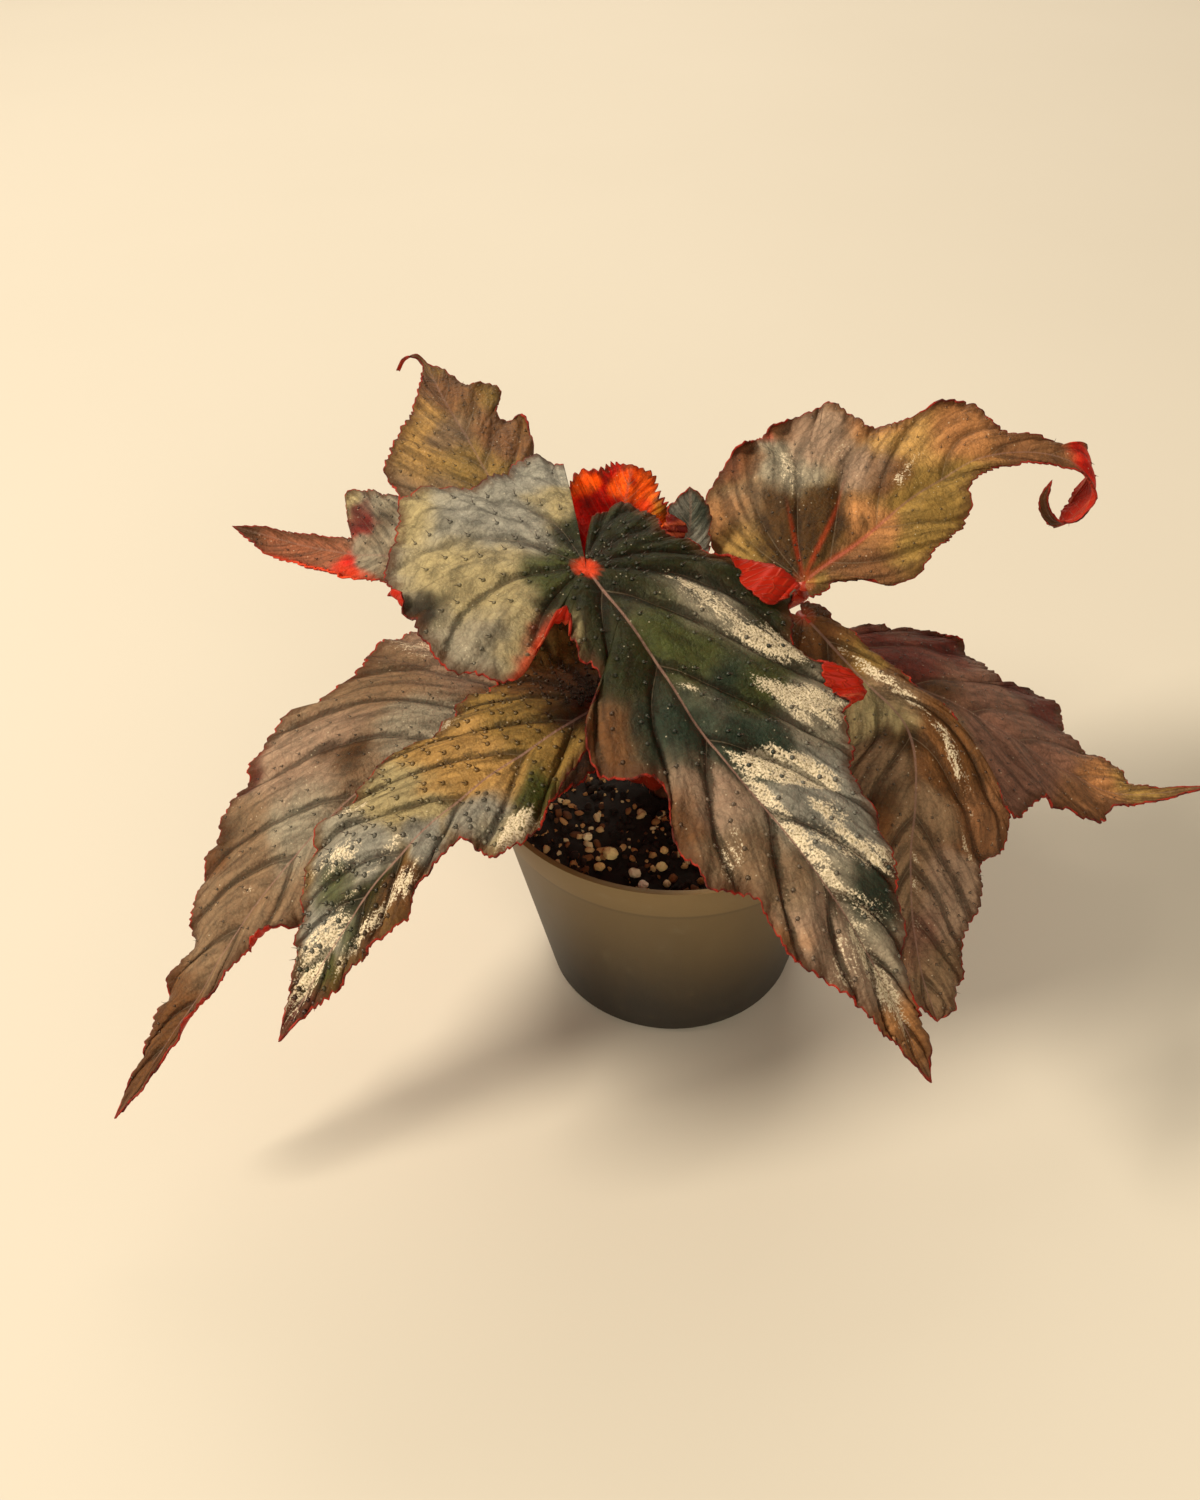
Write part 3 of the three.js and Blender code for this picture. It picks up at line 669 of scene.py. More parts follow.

# Places on a blade are (along the midrib, across it) from the junction with the stalk, and
# angles are in degrees. Midribs and margins follow the CAD part's and fold, cup and tilt are
# its own, but the hook and the spiral at two tips and some lobes and notches are only here.
#   midrib: points on the way, of which the second is the junction
#   left, right: each half's margin, from the notch to the tip
#   fold, cup: each half's slope, and how far it bends over 10 mm; tilt: the left half's rise
#   side: the way that the left half heads, where the leaf stands upright
#   size: the mesh's columns round the margin and its rows from the midrib to the margin
#   ruffle, quilt: the margin's waves, and the height of the quilting against the usual one
#   teeth: pitch and height; curls: half, along, across, length, how far out, depth, turn, aside
#   ground, dabs: the colour between the dabs, and their along, across, reach and colour
#   silver, scarlet: along, across, half length, half width, turn and amount of a patch
#   fade: what the veins gain for a millimetre along and across; bright: a factor on the colours, painted
#       light for leaves that lie in shade
#   junction: how red the junction is; fine: how many times narrower the red rim is
#   bristles, bold: the bristles' pitch, where there are any, and their size
LEAVES = {
    "front": dict(
        midrib=[(-41, 25, 143), (-22, -4, 139), (-8, -25, 130), (4, -45, 120), (25, -72, 106),
                (38, -89, 91), (51, -103, 67)],
        fold=(2, 4), cup=(1.5, 4), size=(440, 42), ruffle=1.2, quilt=1.15, fade=(0.018, 0), bristles=8.0,
        bold=1.1, junction=1, scarlet=[(15, -25, 8, 1.2, -57, 0.4)],
        left=[(-6, 4), (-14, 11), (-17, 17), (-17, 25), (-11, 28), (-3, 25), (2, 30), (11, 33), (18, 38),
              (25, 43), (33, 39), (50, 38), (62, 35), (70, 32), (79, 24), (92, 21), (105, 15), (113, 10),
              (125, 5), (139, 3)],
        right=[(-39, -19), (-44, -14), (-46, -8), (-42, -3), (-42, 3), (-46, 11), (-52, 17), (-49, 24),
               (-42, 29), (-29, 40), (-15, 41), (-4, 43), (5, 43), (11, 38), (17, 35), (19, 31),
               (11, 17.6), (13, 14), (17, 15), (22, 16), (24, 14), (29, 14), (36, 22), (41, 25), (46, 26),
               (52, 23), (58, 16), (69, 22), (80, 23), (90, 16), (99, 17), (119, 9), (132, 5)],
        curls=[("left", 19, 39, 14, 22, 15, 188, 45), ("left", 53, 37, 13, 22, 13, 190, 10),
               ("right", 12, 16, 7, 3, 5.5, 135, 0), ("right", -20, 40, 7, 4, 4.5, 140, 0)],
        ground=PEWTER,
        dabs=[(10, -18, 3, GARNET), (13, -22, 3, GARNET), (16, -27, 3, GARNET), (19, -32, 3, GARNET),
              (-10, 14, 8, DEEP_GREEN), (-8, 22, 6, DEEP_GREEN), (-12, 6, 6, DEEP_GREEN),
              (-7, 26, 3.5, RUSSET), (2, 32, 3.5, RUSSET), (10, 36, 3.5, RUSSET), (4, 10, 9, DEEP_GREEN),
              (6, 25, 9, DEEP_GREEN), (18, 36, 9, DEEP_GREEN), (34, 36, 7, DEEP_GREEN),
              (22, 20, 8, PEWTER), (28, 8, 10, MOSS), (47, 20, 7, MOSS), (43, 14, 6, TEAL),
              (60, 28, 8, PEWTER), (60, 7, 8, TEAL), (80, 14, 10, SLATE), (104, 12, 6, TEAL),
              (118, 4, 8, PEWTER), (-3, -7, 6, MOSS), (10, -7, 8, DEEP_GREEN), (28, -8, 10, DEEP_GREEN),
              (48, -8, 9, TEAL), (14, -24, 9, SAGE), (4, -34, 8, PEWTER), (-4, -24, 9, SAGE),
              (-14, -38, 4.5, CHARCOAL), (-20, -24, 9, SAGE), (-29, -9, 11, SLATE), (-45, -26, 8, SAGE),
              (-38, 10, 9, SLATE), (-24, 8, 6, SAGE), (44, -22, 9, BRONZE), (66, -22, 8, BRONZE),
              (64, -9, 8, LILAC), (86, -14, 9, TAUPE), (104, -12, 8, LILAC), (100, -16, 4, TAN),
              (118, -2, 7, LILAC), (132, -3, 8, TAN)],
        silver=[(22, 22, 14, 4, 25, 0.9), (36, 30, 13, 5, 42, 1.1), (50, 23, 9, 3, 42, 0.9),
                (58, 29, 11, 6, 40, 1.2), (69, 10.5, 11, 4.8, 42, 1.8), (82, 11, 7, 3, 30, 0.9),
                (92, 11, 14, 4, 40, 1.0), (84, 1.5, 24, 2.4, 0, 1), (120, -1, 18, 3, 0, 1),
                (104, 5, 10, 4, 40, 0.8), (112, -7, 8, 4, -30, 0.7), (16, -22, 7, 5, 0, 0.6),
                (8, -38, 8, 4, 0, 0.3), (78, -14, 9, 3, -45, 0.6), (-30, 20, 10, 3, 60, 0.5),
                (44, 6, 10, 1.6, 40, 0.6)]),
    "front_left": dict(
        midrib=[(-2, -2, 104), (-20, -18, 108), (-34, -32, 109), (-51, -46, 106), (-66, -59, 100),
                (-79, -68, 87), (-97, -84, 64)],
        fold=(4, 4), cup=(4, 4), size=(340, 34), ruffle=1.2, bristles=5.5, bold=1.25,
        left=[(-5, 3), (-6, 8), (3, 11), (15, 11), (27, 15), (38, 20), (48, 20), (54, 9), (64, 10),
              (73, 12), (84, 10), (98, 7), (109, 3)],
        right=[(-5, 3), (-12, 10), (-15, 20), (-6, 27), (8, 26), (24, 30), (36, 24), (46, 28), (60, 25),
               (75, 26), (87, 18), (96, 10), (109, 3)],
        curls=[("right", -10, 24, 30, 10, 14, 60, 0)], ground=OLIVE,
        dabs=[(2, 0, 12, UMBER), (0, -16, 9, BRONZE), (17, -11, 9, OLIVE), (37, -12, 9, GOLD),
              (20, 3, 8, OLIVE), (36, 4, 7, GOLD), (43, 8, 6, SLATE), (32, 12, 6, MOSS),
              (44, 18, 5, SAGE), (72, -14, 8, SLATE), (58, 3, 4, SLATE), (66, -8, 5, SLATE),
              (50, -4, 5, SAGE), (56, -14, 8, SAGE), (71, 1, 4, DEEP_GREEN), (79, 2, 5, DEEP_GREEN),
              (86, 0, 4, MOSS), (70, 8, 5, BRONZE), (80, 6, 4, BRONZE), (88, -5, 7, SLATE),
              (70, -18, 6, PEWTER), (80, -8, 5, MOSS), (98, 1, 5, MOSS), (106, 0, 6, WINE),
              (56, -24, 6, SAGE)],
        silver=[(42, 18, 8, 4, 20, 1.3), (83, 6, 12, 2.2, -5, 0.95), (95, -2, 18, 4.4, 2, 1.0),
                (76, -14, 11, 4, -30, 0.75), (67, 7, 7, 3, 0, 0.9), (64, -3, 14, 1.8, 0, 0.6),
                (64, -22, 10, 3.4, -30, 0.6), (33, -25, 7, 3, -40, 0.9)]),
    "far_left": dict(
        midrib=[(-5, 6, 82), (-28, -2, 87), (-51, -9, 91), (-71, -17, 91), (-88, -30, 85),
                (-106, -46, 72), (-116, -56, 62), (-124, -63, 52), (-145, -80, 30)],
        fold=(4, 0), cup=(4, 1), size=(380, 34), ruffle=1.4, quilt=0.9, bright=1.1, bristles=7.0,
        left=[(-5, 3), (-5, 10), (0, 18), (10, 24), (34, 29), (68, 28), (85, 22), (94, 14), (104, 8),
              (115, 5), (135, 3), (151, 3)],
        right=[(-5, 3), (-6, 12), (0, 26), (10, 44), (22, 57), (34, 54), (40, 46), (49, 38), (60, 38),
               (78, 32), (95, 25), (113, 14), (119, 10), (125, 12), (133, 8), (154, 2)],
        curls=[("left", 100, 10, 12, 2.5, 4, 110, 0), ("left", 128, 4, 14, 2, 3, 100, 0)],
        ground=TAUPE,
        dabs=[(33, -30, 12, TAUPE), (20, -48, 9, LILAC), (63, -23, 11, LILAC), (49, -35, 8, TAUPE),
              (90, -11, 10, TAUPE), (112, 3, 10, TAUPE), (138, 1, 14, BRONZE), (10, -8, 12, BRONZE),
              (60, 10, 14, TAUPE), (75, -33, 4, WINE), (72, -36, 3, RIM_RED), (95, -22, 4, RUSSET),
              (40, 4, 8, PEWTER), (24, -30, 8, LILAC), (34, -14, 8, PEWTER), (76, -4, 9, PEWTER),
              (55, -12, 6, UMBER), (92, -22, 5, UMBER)],
        silver=[(28, -44, 12, 6, -50, 0.7), (66, -16, 14, 4, -40, 0.4), (100, -6, 12, 3, -20, 0.35)]),
    "back_left": dict(
        midrib=[(-26, 12, 112), (-35, 24, 124), (-44, 37, 135), (-53, 56, 142), (-61, 72, 148),
                (-66, 85, 151), (-69.5, 87, 153), (-72.5, 87, 152), (-74.5, 87, 149)],
        fold=(3, 3), cup=(3, 3), size=(220, 26), ruffle=1.2, quilt=0.4, bristles=7.0,
        left=[(-7, 3), (-10, 10), (-2, 20), (14, 25), (29, 25), (37, 25), (45, 22), (52, 16), (58, 9),
              (70, 3), (76, 0.8), (88, 0.4)],
        right=[(-7, 3), (-8, 7), (2, 11), (16, 12), (30, 15), (44, 18), (49, 12), (58, 17), (63, 9),
               (71, 4), (76, 0.8), (88, 0.4)],
        curls=[("right", 44, 18, 7, 1.5, 3, 120, 0)], ground=OLIVE,
        dabs=[(60, 0, 7, RUSSET), (31, 4, 10, OLIVE), (39, 13, 6, GOLD), (39, -8, 8, RUSSET),
              (10, 10, 12, TAUPE), (30, 20, 8, TAUPE), (54, 9, 6, GOLD), (20, -6, 8, OLIVE),
              (46, 4, 6, TAUPE)],
        silver=[(20, 6, 9, 3, 20, 0.4)]),
    "left": dict(
        midrib=[(-34, 22, 109), (-51, 30, 111), (-74, 42, 114), (-89, 50, 111), (-104, 57, 110),
                (-125, 64, 113)],
        fold=(3, 3), cup=(3, 3), tilt=-30, size=(240, 26), ruffle=1.0, quilt=0.35, bristles=7.0,
        scarlet=[(44, 8.5, 24, 1.7, -5, 0.65), (40, 6, 7, 1.5, -8, 0.4)],
        left=[(-5, 3), (-6, 9), (4, 13), (17, 12), (27, 8), (48, 7), (59, 6), (70, 5)],
        right=[(-5, 3), (-6, 11), (6, 19), (22, 20), (35, 20), (47, 22), (53, 21), (50, 11), (45, 4.5),
               (56, 4), (66, 3), (75, 2)],
        curls=[("left", 50, 7, 26, 1.5, 3, 100, 0)], ground=PEWTER,
        dabs=[(34, -12, 7, PEWTER), (35, -2, 7, PEWTER), (46, -20, 5, PEWTER), (54, -16, 5, SAGE),
              (50, 0, 5, BRICK), (59, 1, 8, BRICK), (68, 1, 8, BRICK), (76, 1, 6, UMBER),
              (15, 0, 14, TAUPE), (44, 4, 4, CRIMSON), (45.5, -14, 2.8, CLARET), (43.5, -11, 2.8, CLARET),
              (42, -8, 2.6, GARNET), (44, -12, 2.2, CLARET), (46, -15, 2.6, WINE), (42, -9, 2.6, WINE),
              # The umber dab at (37, -13) is a painted shadow by the fold
              (37, -13, 4, UMBER), (37, -8, 4, UMBER), (36, -3, 4, TAUPE)],
        silver=[]),
    "back_right": dict(
        midrib=[(22, 12, 106), (36, 22, 116), (53, 33, 122), (65, 42, 127), (76, 50, 129), (86, 55, 132),
                (98, 58, 132.5), (109, 57, 131.5), (117, 55, 128), (121, 53, 121), (117, 51, 114.5),
                (110.5, 51, 113.5), (106, 51, 120.5), (107, 51, 127)],
        fold=(3, 3), cup=(2, 2), tilt=30, size=(330, 30), ruffle=1.0, quilt=0.55, bright=1.15,
        bristles=8.0,
        scarlet=[(13, 0, 17, 0.6, 0, 0.26), (11, 6, 15, 0.6, 27, 0.24), (5, 9, 10, 0.6, 62, 0.2)],
        left=[(-4, 5), (-9, 12), (-9, 23), (-5, 31), (3, 40), (19, 42), (32, 41), (41, 38), (45, 31),
              (47, 23), (59, 20), (68, 17), (74, 7), (82, 5), (89, 5), (94, 13), (101, 15), (108, 14),
              (114, 11), (119, 3), (130, 1)],
        right=[(-2, 4), (5, 5), (13, 9), (18, 15), (26, 17), (35, 15), (45, 15), (52, 12), (59, 5),
               (78, 4), (97, 3), (112, 1.5), (130, 1)],
        curls=[("left", 14, 42, 9, 3, 4.5, 120, 0), ("left", 30, 41, 8, 3, 4.5, 120, 0),
               ("left", 64, 19, 8, 2, 3.5, 100, 0)],
        ground=OLIVE,
        dabs=[(6, 10, 7, UMBER), (20, 10, 7, UMBER), (8, 19, 7, UMBER), (20, 31, 8, PEWTER),
              (2, 28, 7, TAUPE), (34, 32, 8, LILAC), (-6, 22, 8, OLIVE), (36, 16, 6, LILAC),
              (39, 10, 5, BRONZE), (52, 15, 8, GOLD), (35, -6, 9, OLIVE), (48, -6, 8, OLIVE),
              (65, 12, 9, COPPER), (50, 26, 7, COPPER), (26, 1, 6, COPPER), (12, 40, 5, RUSSET),
              (30, 40, 5, RUSSET), (78, 2, 6, RUSSET), (87, 0, 5, RUSSET), (95, 2, 5, CRIMSON),
              (102, 3, 6, CRIMSON), (110, 3, 6, CRIMSON), (120, 0, 5, UMBER), (129, 0, 6, UMBER),
              (16, -8, 7, RUSSET), (-5, 24, 6, GOLD), (26, 3, 5, TAN), (-2, 29, 5, COPPER),
              (10, 42, 4, WINE), (24, 43, 4, RIM_RED)],
        silver=[(20, 28, 10, 5, 60, 0.65), (34, 20, 8, 3, 50, 0.5), (44, 7, 12, 2.2, 20, 0.6)]),
    "right": dict(
        midrib=[(22, 10, 104), (39, 9, 103), (59, 4, 97), (82, -2, 87), (105, -8, 73), (121, -12, 67),
                (144, -14, 71)],
        fold=(3, 3), cup=(3, 3), size=(300, 30), ruffle=1.2, quilt=0.45, bright=1.25, bristles=8.0,
        left=[(-4, 4), (-2, 9), (8, 16), (17, 23), (35, 34), (49, 32), (54, 25), (69, 36), (76, 31),
              (79, 16), (91, 12), (98, 3), (110, 1)],
        right=[(-4, 4), (0, 10), (12, 16), (28, 21), (44, 25), (58, 28), (70, 16), (84, 14), (91, 6),
               (107, 2)],
        curls=[("left", 38, 34, 10, 1.5, 3, 90, 0)], ground=PLUM,
        dabs=[(22, 8, 9, WINE), (38, 2, 6, UMBER), (44, 2, 8, PLUM), (64, -5, 10, PLUM),
              (80, -9, 8, RUSSET), (36, -16, 8, TAUPE), (36, 28, 8, WINE), (66, 28, 9, WINE),
              (88, 2, 7, COPPER), (98, 2, 8, OLIVE), (55, 12, 9, PLUM)],
        silver=[(30, -14, 10, 3, -20, 0.3)]),
    "front_right": dict(
        midrib=[(21, 15, 121), (33, 3, 118), (43, -8, 111), (56, -25, 103), (56, -41, 93), (54, -52, 83),
                (55, -66, 67), (60, -75, 52)],
        fold=(6, 6), cup=(4, 4), size=(300, 30), ruffle=1.2, quilt=0.8, bright=1.25, bristles=7.0,
        left=[(-3, 2), (-3, 4), (7, 6), (20, 9), (37, 12), (46, 19), (54, 25), (63, 28), (76, 20),
              (85, 20), (91, 15), (105, 10), (111, 6)],
        right=[(-4, 3), (-4, 8), (8, 12), (24, 16), (52, 19), (69, 15), (85, 11), (98, 8)],
        curls=[], ground=BRONZE,
        dabs=[(30, 5, 5, TAUPE), (30, 13, 6, BRONZE), (31, -7, 7, SAGE), (48, -9, 8, TAUPE),
              (42, -4, 4, UMBER), (58, -8, 4, UMBER), (46, 4, 6, BRONZE), (48, 14, 6, BRONZE),
              (62, 2, 6, TAUPE), (10, 0, 8, BRONZE), (16, 6, 5, OLIVE), (64, -12, 6, BRONZE),
              (60, 20, 8, RUSSET), (83, 11, 9, LILAC), (74, -2, 6, TAUPE), (92, 3, 6, PLUM),
              (101, 8, 9, TAUPE), (80, -6, 7, TAUPE), (107, 0, 6, TAUPE)],
        silver=[(26, 4, 16, 2.0, 12, 0.85), (46, 10, 14, 2.0, 24, 0.8), (36, 7, 14, 1.6, 12, 0.6),
                (66, 14, 9, 1.6, 30, 0.6), (80, 1, 20, 1.2, 0, 0.5)]),
    "young_upright": dict(
        midrib=[(-16, 30, 108), (-15, 34, 116), (-12, 39, 128), (-9, 44, 140)],
        fold=(0, 0), cup=(-6, -6), side=(1, 0, 0), size=(230, 22), ruffle=2.4, quilt=0.35,
        fade=(0, -0.07), bright=1.5, bristles=0,
        left=[(-3, 2), (-2, 6), (6, 11), (15, 13), (20, 9), (25, 5)],
        right=[(-3, 2), (-2, 7), (4, 14), (13, 17), (19, 15), (24, 9)],
        curls=[], teeth=(1.9, 1.8), fine=2, ground=CRIMSON,
        dabs=[(10, -9, 5, GARNET), (16, -8, 3, CRIMSON), (18, -3, 3, ORANGE), (6, -3, 5, GARNET),
              (19, -12, 3, ORANGE), (12, -2, 3, CRIMSON), (8, 4, 3, GARNET), (17, 6, 2.5, CRIMSON),
              (14, -3, 2, CLARET), (17, 3, 1.6, CLARET), (12, 8, 2, GARNET), (20, -7, 1.8, GARNET),
              (21, 1, 1.6, GARNET), (6, 9, 3, CRIMSON), (14, 3, 4, ORANGE), (22, 4, 4, ORANGE),
              (17, 10, 4, OCHRE), (10, 10, 4, ORANGE), (12, 15, 4, OCHRE)],
        silver=[]),
    "young_curled": dict(
        midrib=[(3, 26, 108), (4, 30, 116), (6, 35, 127), (6, 38, 136)],
        fold=(0, 0), cup=(8, 8), side=(-1, 0, 0), size=(90, 14), ruffle=0.6, bristles=0,
        left=[(-2, 2), (-1, 5), (6, 8), (12, 8), (18, 4)],
        right=[(-2, 2), (-1, 4), (7, 6), (13, 5.5), (19, 3)], curls=[("left", 12, 8, 8, 6, 9, 200, 45)],
        fine=3, quilt=0.3, ground=SLATE,
        dabs=[(8, -2, 5, SLATE), (14, -4, 6, TEAL), (10, -8, 5, SLATE), (4, 6, 4, TEAL),
              (18, 0, 4, SLATE)],
        silver=[]),
}


def smooth_line(knots, values, places, level=False):
    """The values at places along the smooth line through the values at the knots. A level
    line rises and falls no further than its knots."""
    knots, values = np.asarray(knots, float), np.asarray(values, float)
    if level:
        rises = np.diff(values) / np.diff(knots)
        before, after = rises[:-1], rises[1:]
        same = before * after > 0
        inner = np.where(same, 2 * before * after / np.where(same, before + after, 1), 0)
        slopes = np.concatenate([rises[:1], inner, rises[-1:]])
    else:
        slopes = np.gradient(values, knots, axis=0)
    places = np.clip(places, knots[0], knots[-1])
    k = np.clip(np.searchsorted(knots, places, side="right") - 1, 0, len(knots) - 2)
    span = knots[k + 1] - knots[k]
    t = (places - knots[k]) / span
    if values.ndim > 1:
        t, span = t[:, None], span[:, None]
    return ((1 + 2 * t) * (1 - t) ** 2 * values[k] + t * (1 - t) ** 2 * span * slopes[k]
            + t * t * (3 - 2 * t) * values[k + 1] + t * t * (t - 1) * span * slopes[k + 1])


def unit(vectors):
    return vectors / np.maximum(np.linalg.norm(vectors, axis=-1, keepdims=True), 1e-9)


def ripple(place, seed):
    """An uneven wave between about -1 and 1."""
    slow = np.sin(place + 1.7 * seed)
    middle = np.sin(1.73 * place + 4.1 * seed)
    quick = np.sin(2.91 * place + 2.3 * seed)
    return (slow + middle + quick) / 2.2


def wander(x, y, seed):
    """An uneven bumpy surface between about -1 and 1."""
    lengthways = np.sin(x + 1.9 * np.sin(0.7 * y + seed))
    crossways = np.sin(1.3 * y + 1.7 * np.sin(0.9 * x + 2.1 * seed))
    return (lengthways + crossways) / 2


class Blade:
    """A leaf's sheet in millimetres. Its share runs from the notch to the tip, and its row
    from -1 at the right margin over 0 at the midrib to 1 at the left one."""

    def __init__(self, leaf, seed):
        points = np.array(leaf["midrib"], float)
        self.leaf, self.seed = leaf, seed
        stations = np.linspace(0, len(points) - 1, MIDRIB_SAMPLES + 1)
        self.places = smooth_line(range(len(points)), points, stations)
        runs = np.linalg.norm(np.diff(self.places, axis=0), axis=1)
        self.marks = np.concatenate([[0], np.cumsum(runs)])
        self.marks -= self.marks[round(MIDRIB_SAMPLES / (len(points) - 1))]
        self.length = self.marks[-1]
        heading = points[-1] - points[1]
        self.forward = unit(np.gradient(self.places, axis=0))
        up = unit(np.cross(self.forward, leaf.get("side", (-heading[1], heading[0], 0))))
        tilt = math.radians(leaf.get("tilt", 0))
        self.across = np.cross(up, self.forward) * math.cos(tilt) + up * math.sin(tilt)
        self.up = np.cross(self.forward, self.across)
        uneven = VEIN_UNEVENNESS * ripple(np.arange(len(VEIN_SHARES)) * 2.3, seed)
        self.veins = np.array(VEIN_SHARES) + uneven
        self.rims = [self.rim(leaf[half], half) for half in ("left", "right")]
        arcs = (self.rims[0]["arc"] + self.rims[1]["arc"]) / 2
        self.columns = np.interp(np.linspace(0, arcs[-1], leaf["size"][0] + 1), arcs, SHARES)

    def ray(self, share, notch):
        """The foot on the midrib and the angle of the line that a share runs out along."""
        angle = np.radians(notch + (FAN_ANGLE - notch) * np.clip(share / FAN_SHARE, 0, 1))
        return self.length * np.clip((share - FAN_SHARE) / (1 - FAN_SHARE), 0, 1), angle

    def rim(self, margin, half):
        """What one half's margin does over the shares: its reach, arc length, curls and notch."""
        margin = np.array(margin, float)
        bearing = np.degrees(np.arctan2(margin[:, 1], margin[:, 0])) % 360
        fanned = bearing >= FAN_ANGLE
        fan_place = FAN_SHARE * (bearing[0] - bearing) / (bearing[0] - FAN_ANGLE)
        foot_place = FAN_SHARE + (1 - FAN_SHARE) * (margin[:, 0] - margin[:, 1]) / self.length
        knots = np.append(np.where(fanned, fan_place, foot_place), 1)
        knots = np.maximum.accumulate(knots) + 1e-4 * np.arange(len(knots)) / len(knots)
        reaches = np.where(fanned, np.hypot(*margin.T), margin[:, 1] * math.sqrt(2))
        reach = smooth_line(knots, np.append(reaches, 0), SHARES, level=True)
        foot, angle = self.ray(SHARES, bearing[0])
        flat = np.stack([foot + reach * np.cos(angle), reach * np.sin(angle)], 1)
        arc = np.concatenate([[0], np.cumsum(np.linalg.norm(np.diff(flat, axis=0), axis=1))])
        seed = self.seed + (half == "right") * 5
        pitch, tallest = self.leaf.get("teeth", (TOOTH_PITCH, TOOTH_HEIGHT))
        step = (arc / pitch + 0.5 * ripple(arc / 7, seed)) % 1
        height = tallest * (0.8 + 0.35 * ripple(arc / 5, seed + 3))
        saw = np.minimum(step / TOOTH_RISE, (1 - step) / TOOTH_FALL) - 0.5
        tooth = height * saw + 0.5 * ripple(arc / 3.6, seed + 1)
        reach = np.maximum(0, reach + tooth * np.clip(reach / 7, 0, 1))
        depth = np.zeros(len(SHARES))
        bend = np.full(len(SHARES), 1e-3)
        swing = np.zeros(len(SHARES))
        for side, along, across, length, out, deep, turn, aside in self.leaf["curls"]:
            if side == half:
                middle = arc[np.argmin(np.hypot(flat[:, 0] - along, flat[:, 1] - across))]
                weight = np.exp(-np.abs((arc - middle) / (0.55 * length)) ** 3)
                reach = reach + out * weight
                depth = np.maximum(depth, deep * weight)
                bend = np.where(weight > 0.02, math.radians(turn) / min(deep, FOLD_LENGTH), bend)
                swing = np.where(weight > 0.02, math.radians(aside), swing)
        return dict(reach=reach, arc=arc, depth=depth, bend=bend, swing=swing,
                    notch=np.full(len(SHARES), bearing[0]))

    def lay(self, share, row):
        """Where the sheet is at shares and rows, and what its colours need to know there."""
        leaf, ring, left = self.leaf, np.abs(row), row >= 0
        rim = {key: np.where(left, np.interp(share, SHARES, self.rims[0][key]),
                             np.interp(share, SHARES, self.rims[1][key])) for key in self.rims[0]}
        foot, angle = self.ray(share, rim["notch"])
        reach = rim["reach"] * ring
        over = np.maximum(0, reach - rim["reach"] + rim["depth"])
        bent = np.minimum(over, FOLD_LENGTH) * rim["bend"]
        flap = np.maximum(0, over - FOLD_LENGTH)
        folded = np.sin(bent) / rim["bend"] + flap * np.cos(bent)
        side = np.where(left, 1, -1)
        x, y = foot + reach * np.cos(angle), reach * np.sin(angle)
        straight = share - VEIN_BOW * ring ** 2
        vein = smooth_line(self.veins, range(len(self.veins)), straight)
        ahead = smooth_line(self.veins, range(len(self.veins)), straight + SHARE_STEP)
        fanned = reach * np.radians(rim["notch"] - FAN_ANGLE) / FAN_SHARE
        even = self.length / (1 - FAN_SHARE) * math.sqrt(0.5)
        spread = fanned + (even - fanned) * np.clip((share - 0.3) / 0.15, 0, 1)
        gap = spread / np.maximum((ahead - vein) / SHARE_STEP, 1)
        spine = np.where(x > 0, y, np.hypot(x, y))
        swell = np.abs(np.sin(np.pi * vein)) ** 0.7
        quilt = leaf.get("quilt", 1) * np.clip(QUILTING * gap, 0, QUILTING_LIMIT) * swell
        quilt *= (1 - np.exp(-np.abs(spine) / 4)) * (1 - 0.5 * ring ** 3)
        quilt *= 0.35 + 0.65 * np.clip((share - 0.05) / FAN_SHARE, 0, 1)
        groove = 0.7 * np.exp(-(spine / GROOVE_WIDTH) ** 2)
        turns = rim["arc"] * 2 * math.pi / RUFFLE_LENGTH / RIPPLE_MIDDLE
        wave = leaf["ruffle"] * ring ** 3 * ripple(turns, self.seed + 9 * left)
        frill = 0.3 * ring ** 6 * ripple(rim["arc"] * 1.3, self.seed + 2)
        fade = np.clip(rim["reach"] / 12, 0, 1)
        lift = quilt - groove + fade * (wave + frill) + 0.2 * wander(x / 3, y / 3, self.seed)
        lift += (1 - np.cos(bent)) / rim["bend"] + flap * np.sin(bent)
        along = foot + (reach - over) * np.cos(angle) + folded * np.cos(angle + rim["swing"])
        across = (reach - over) * np.sin(angle) + folded * np.sin(angle + rim["swing"])
        slope = np.radians(np.where(left, *leaf["fold"]))
        cup = np.radians(np.where(left, *leaf["cup"])) / 10 + 1e-6
        out = side * (np.sin(slope + cup * across) - np.sin(slope)) / cup
        drop = (np.cos(slope + cup * across) - np.cos(slope)) / cup
        place, forward, sideways, up = (
            np.stack([np.interp(along, self.marks, line[:, k]) for k in range(3)], -1)
            for line in (self.places, self.forward, self.across, self.up))
        beyond = along - np.clip(along, self.marks[0], self.marks[-1])
        place = place + forward * beyond[:, None] + sideways * out[:, None] + up * (drop + lift)[:, None]
        return dict(place=place * MM, x=x, y=y * side, vein=vein, gap=gap, spine=np.abs(spine), ring=ring,
                    inset=rim["reach"] - reach)

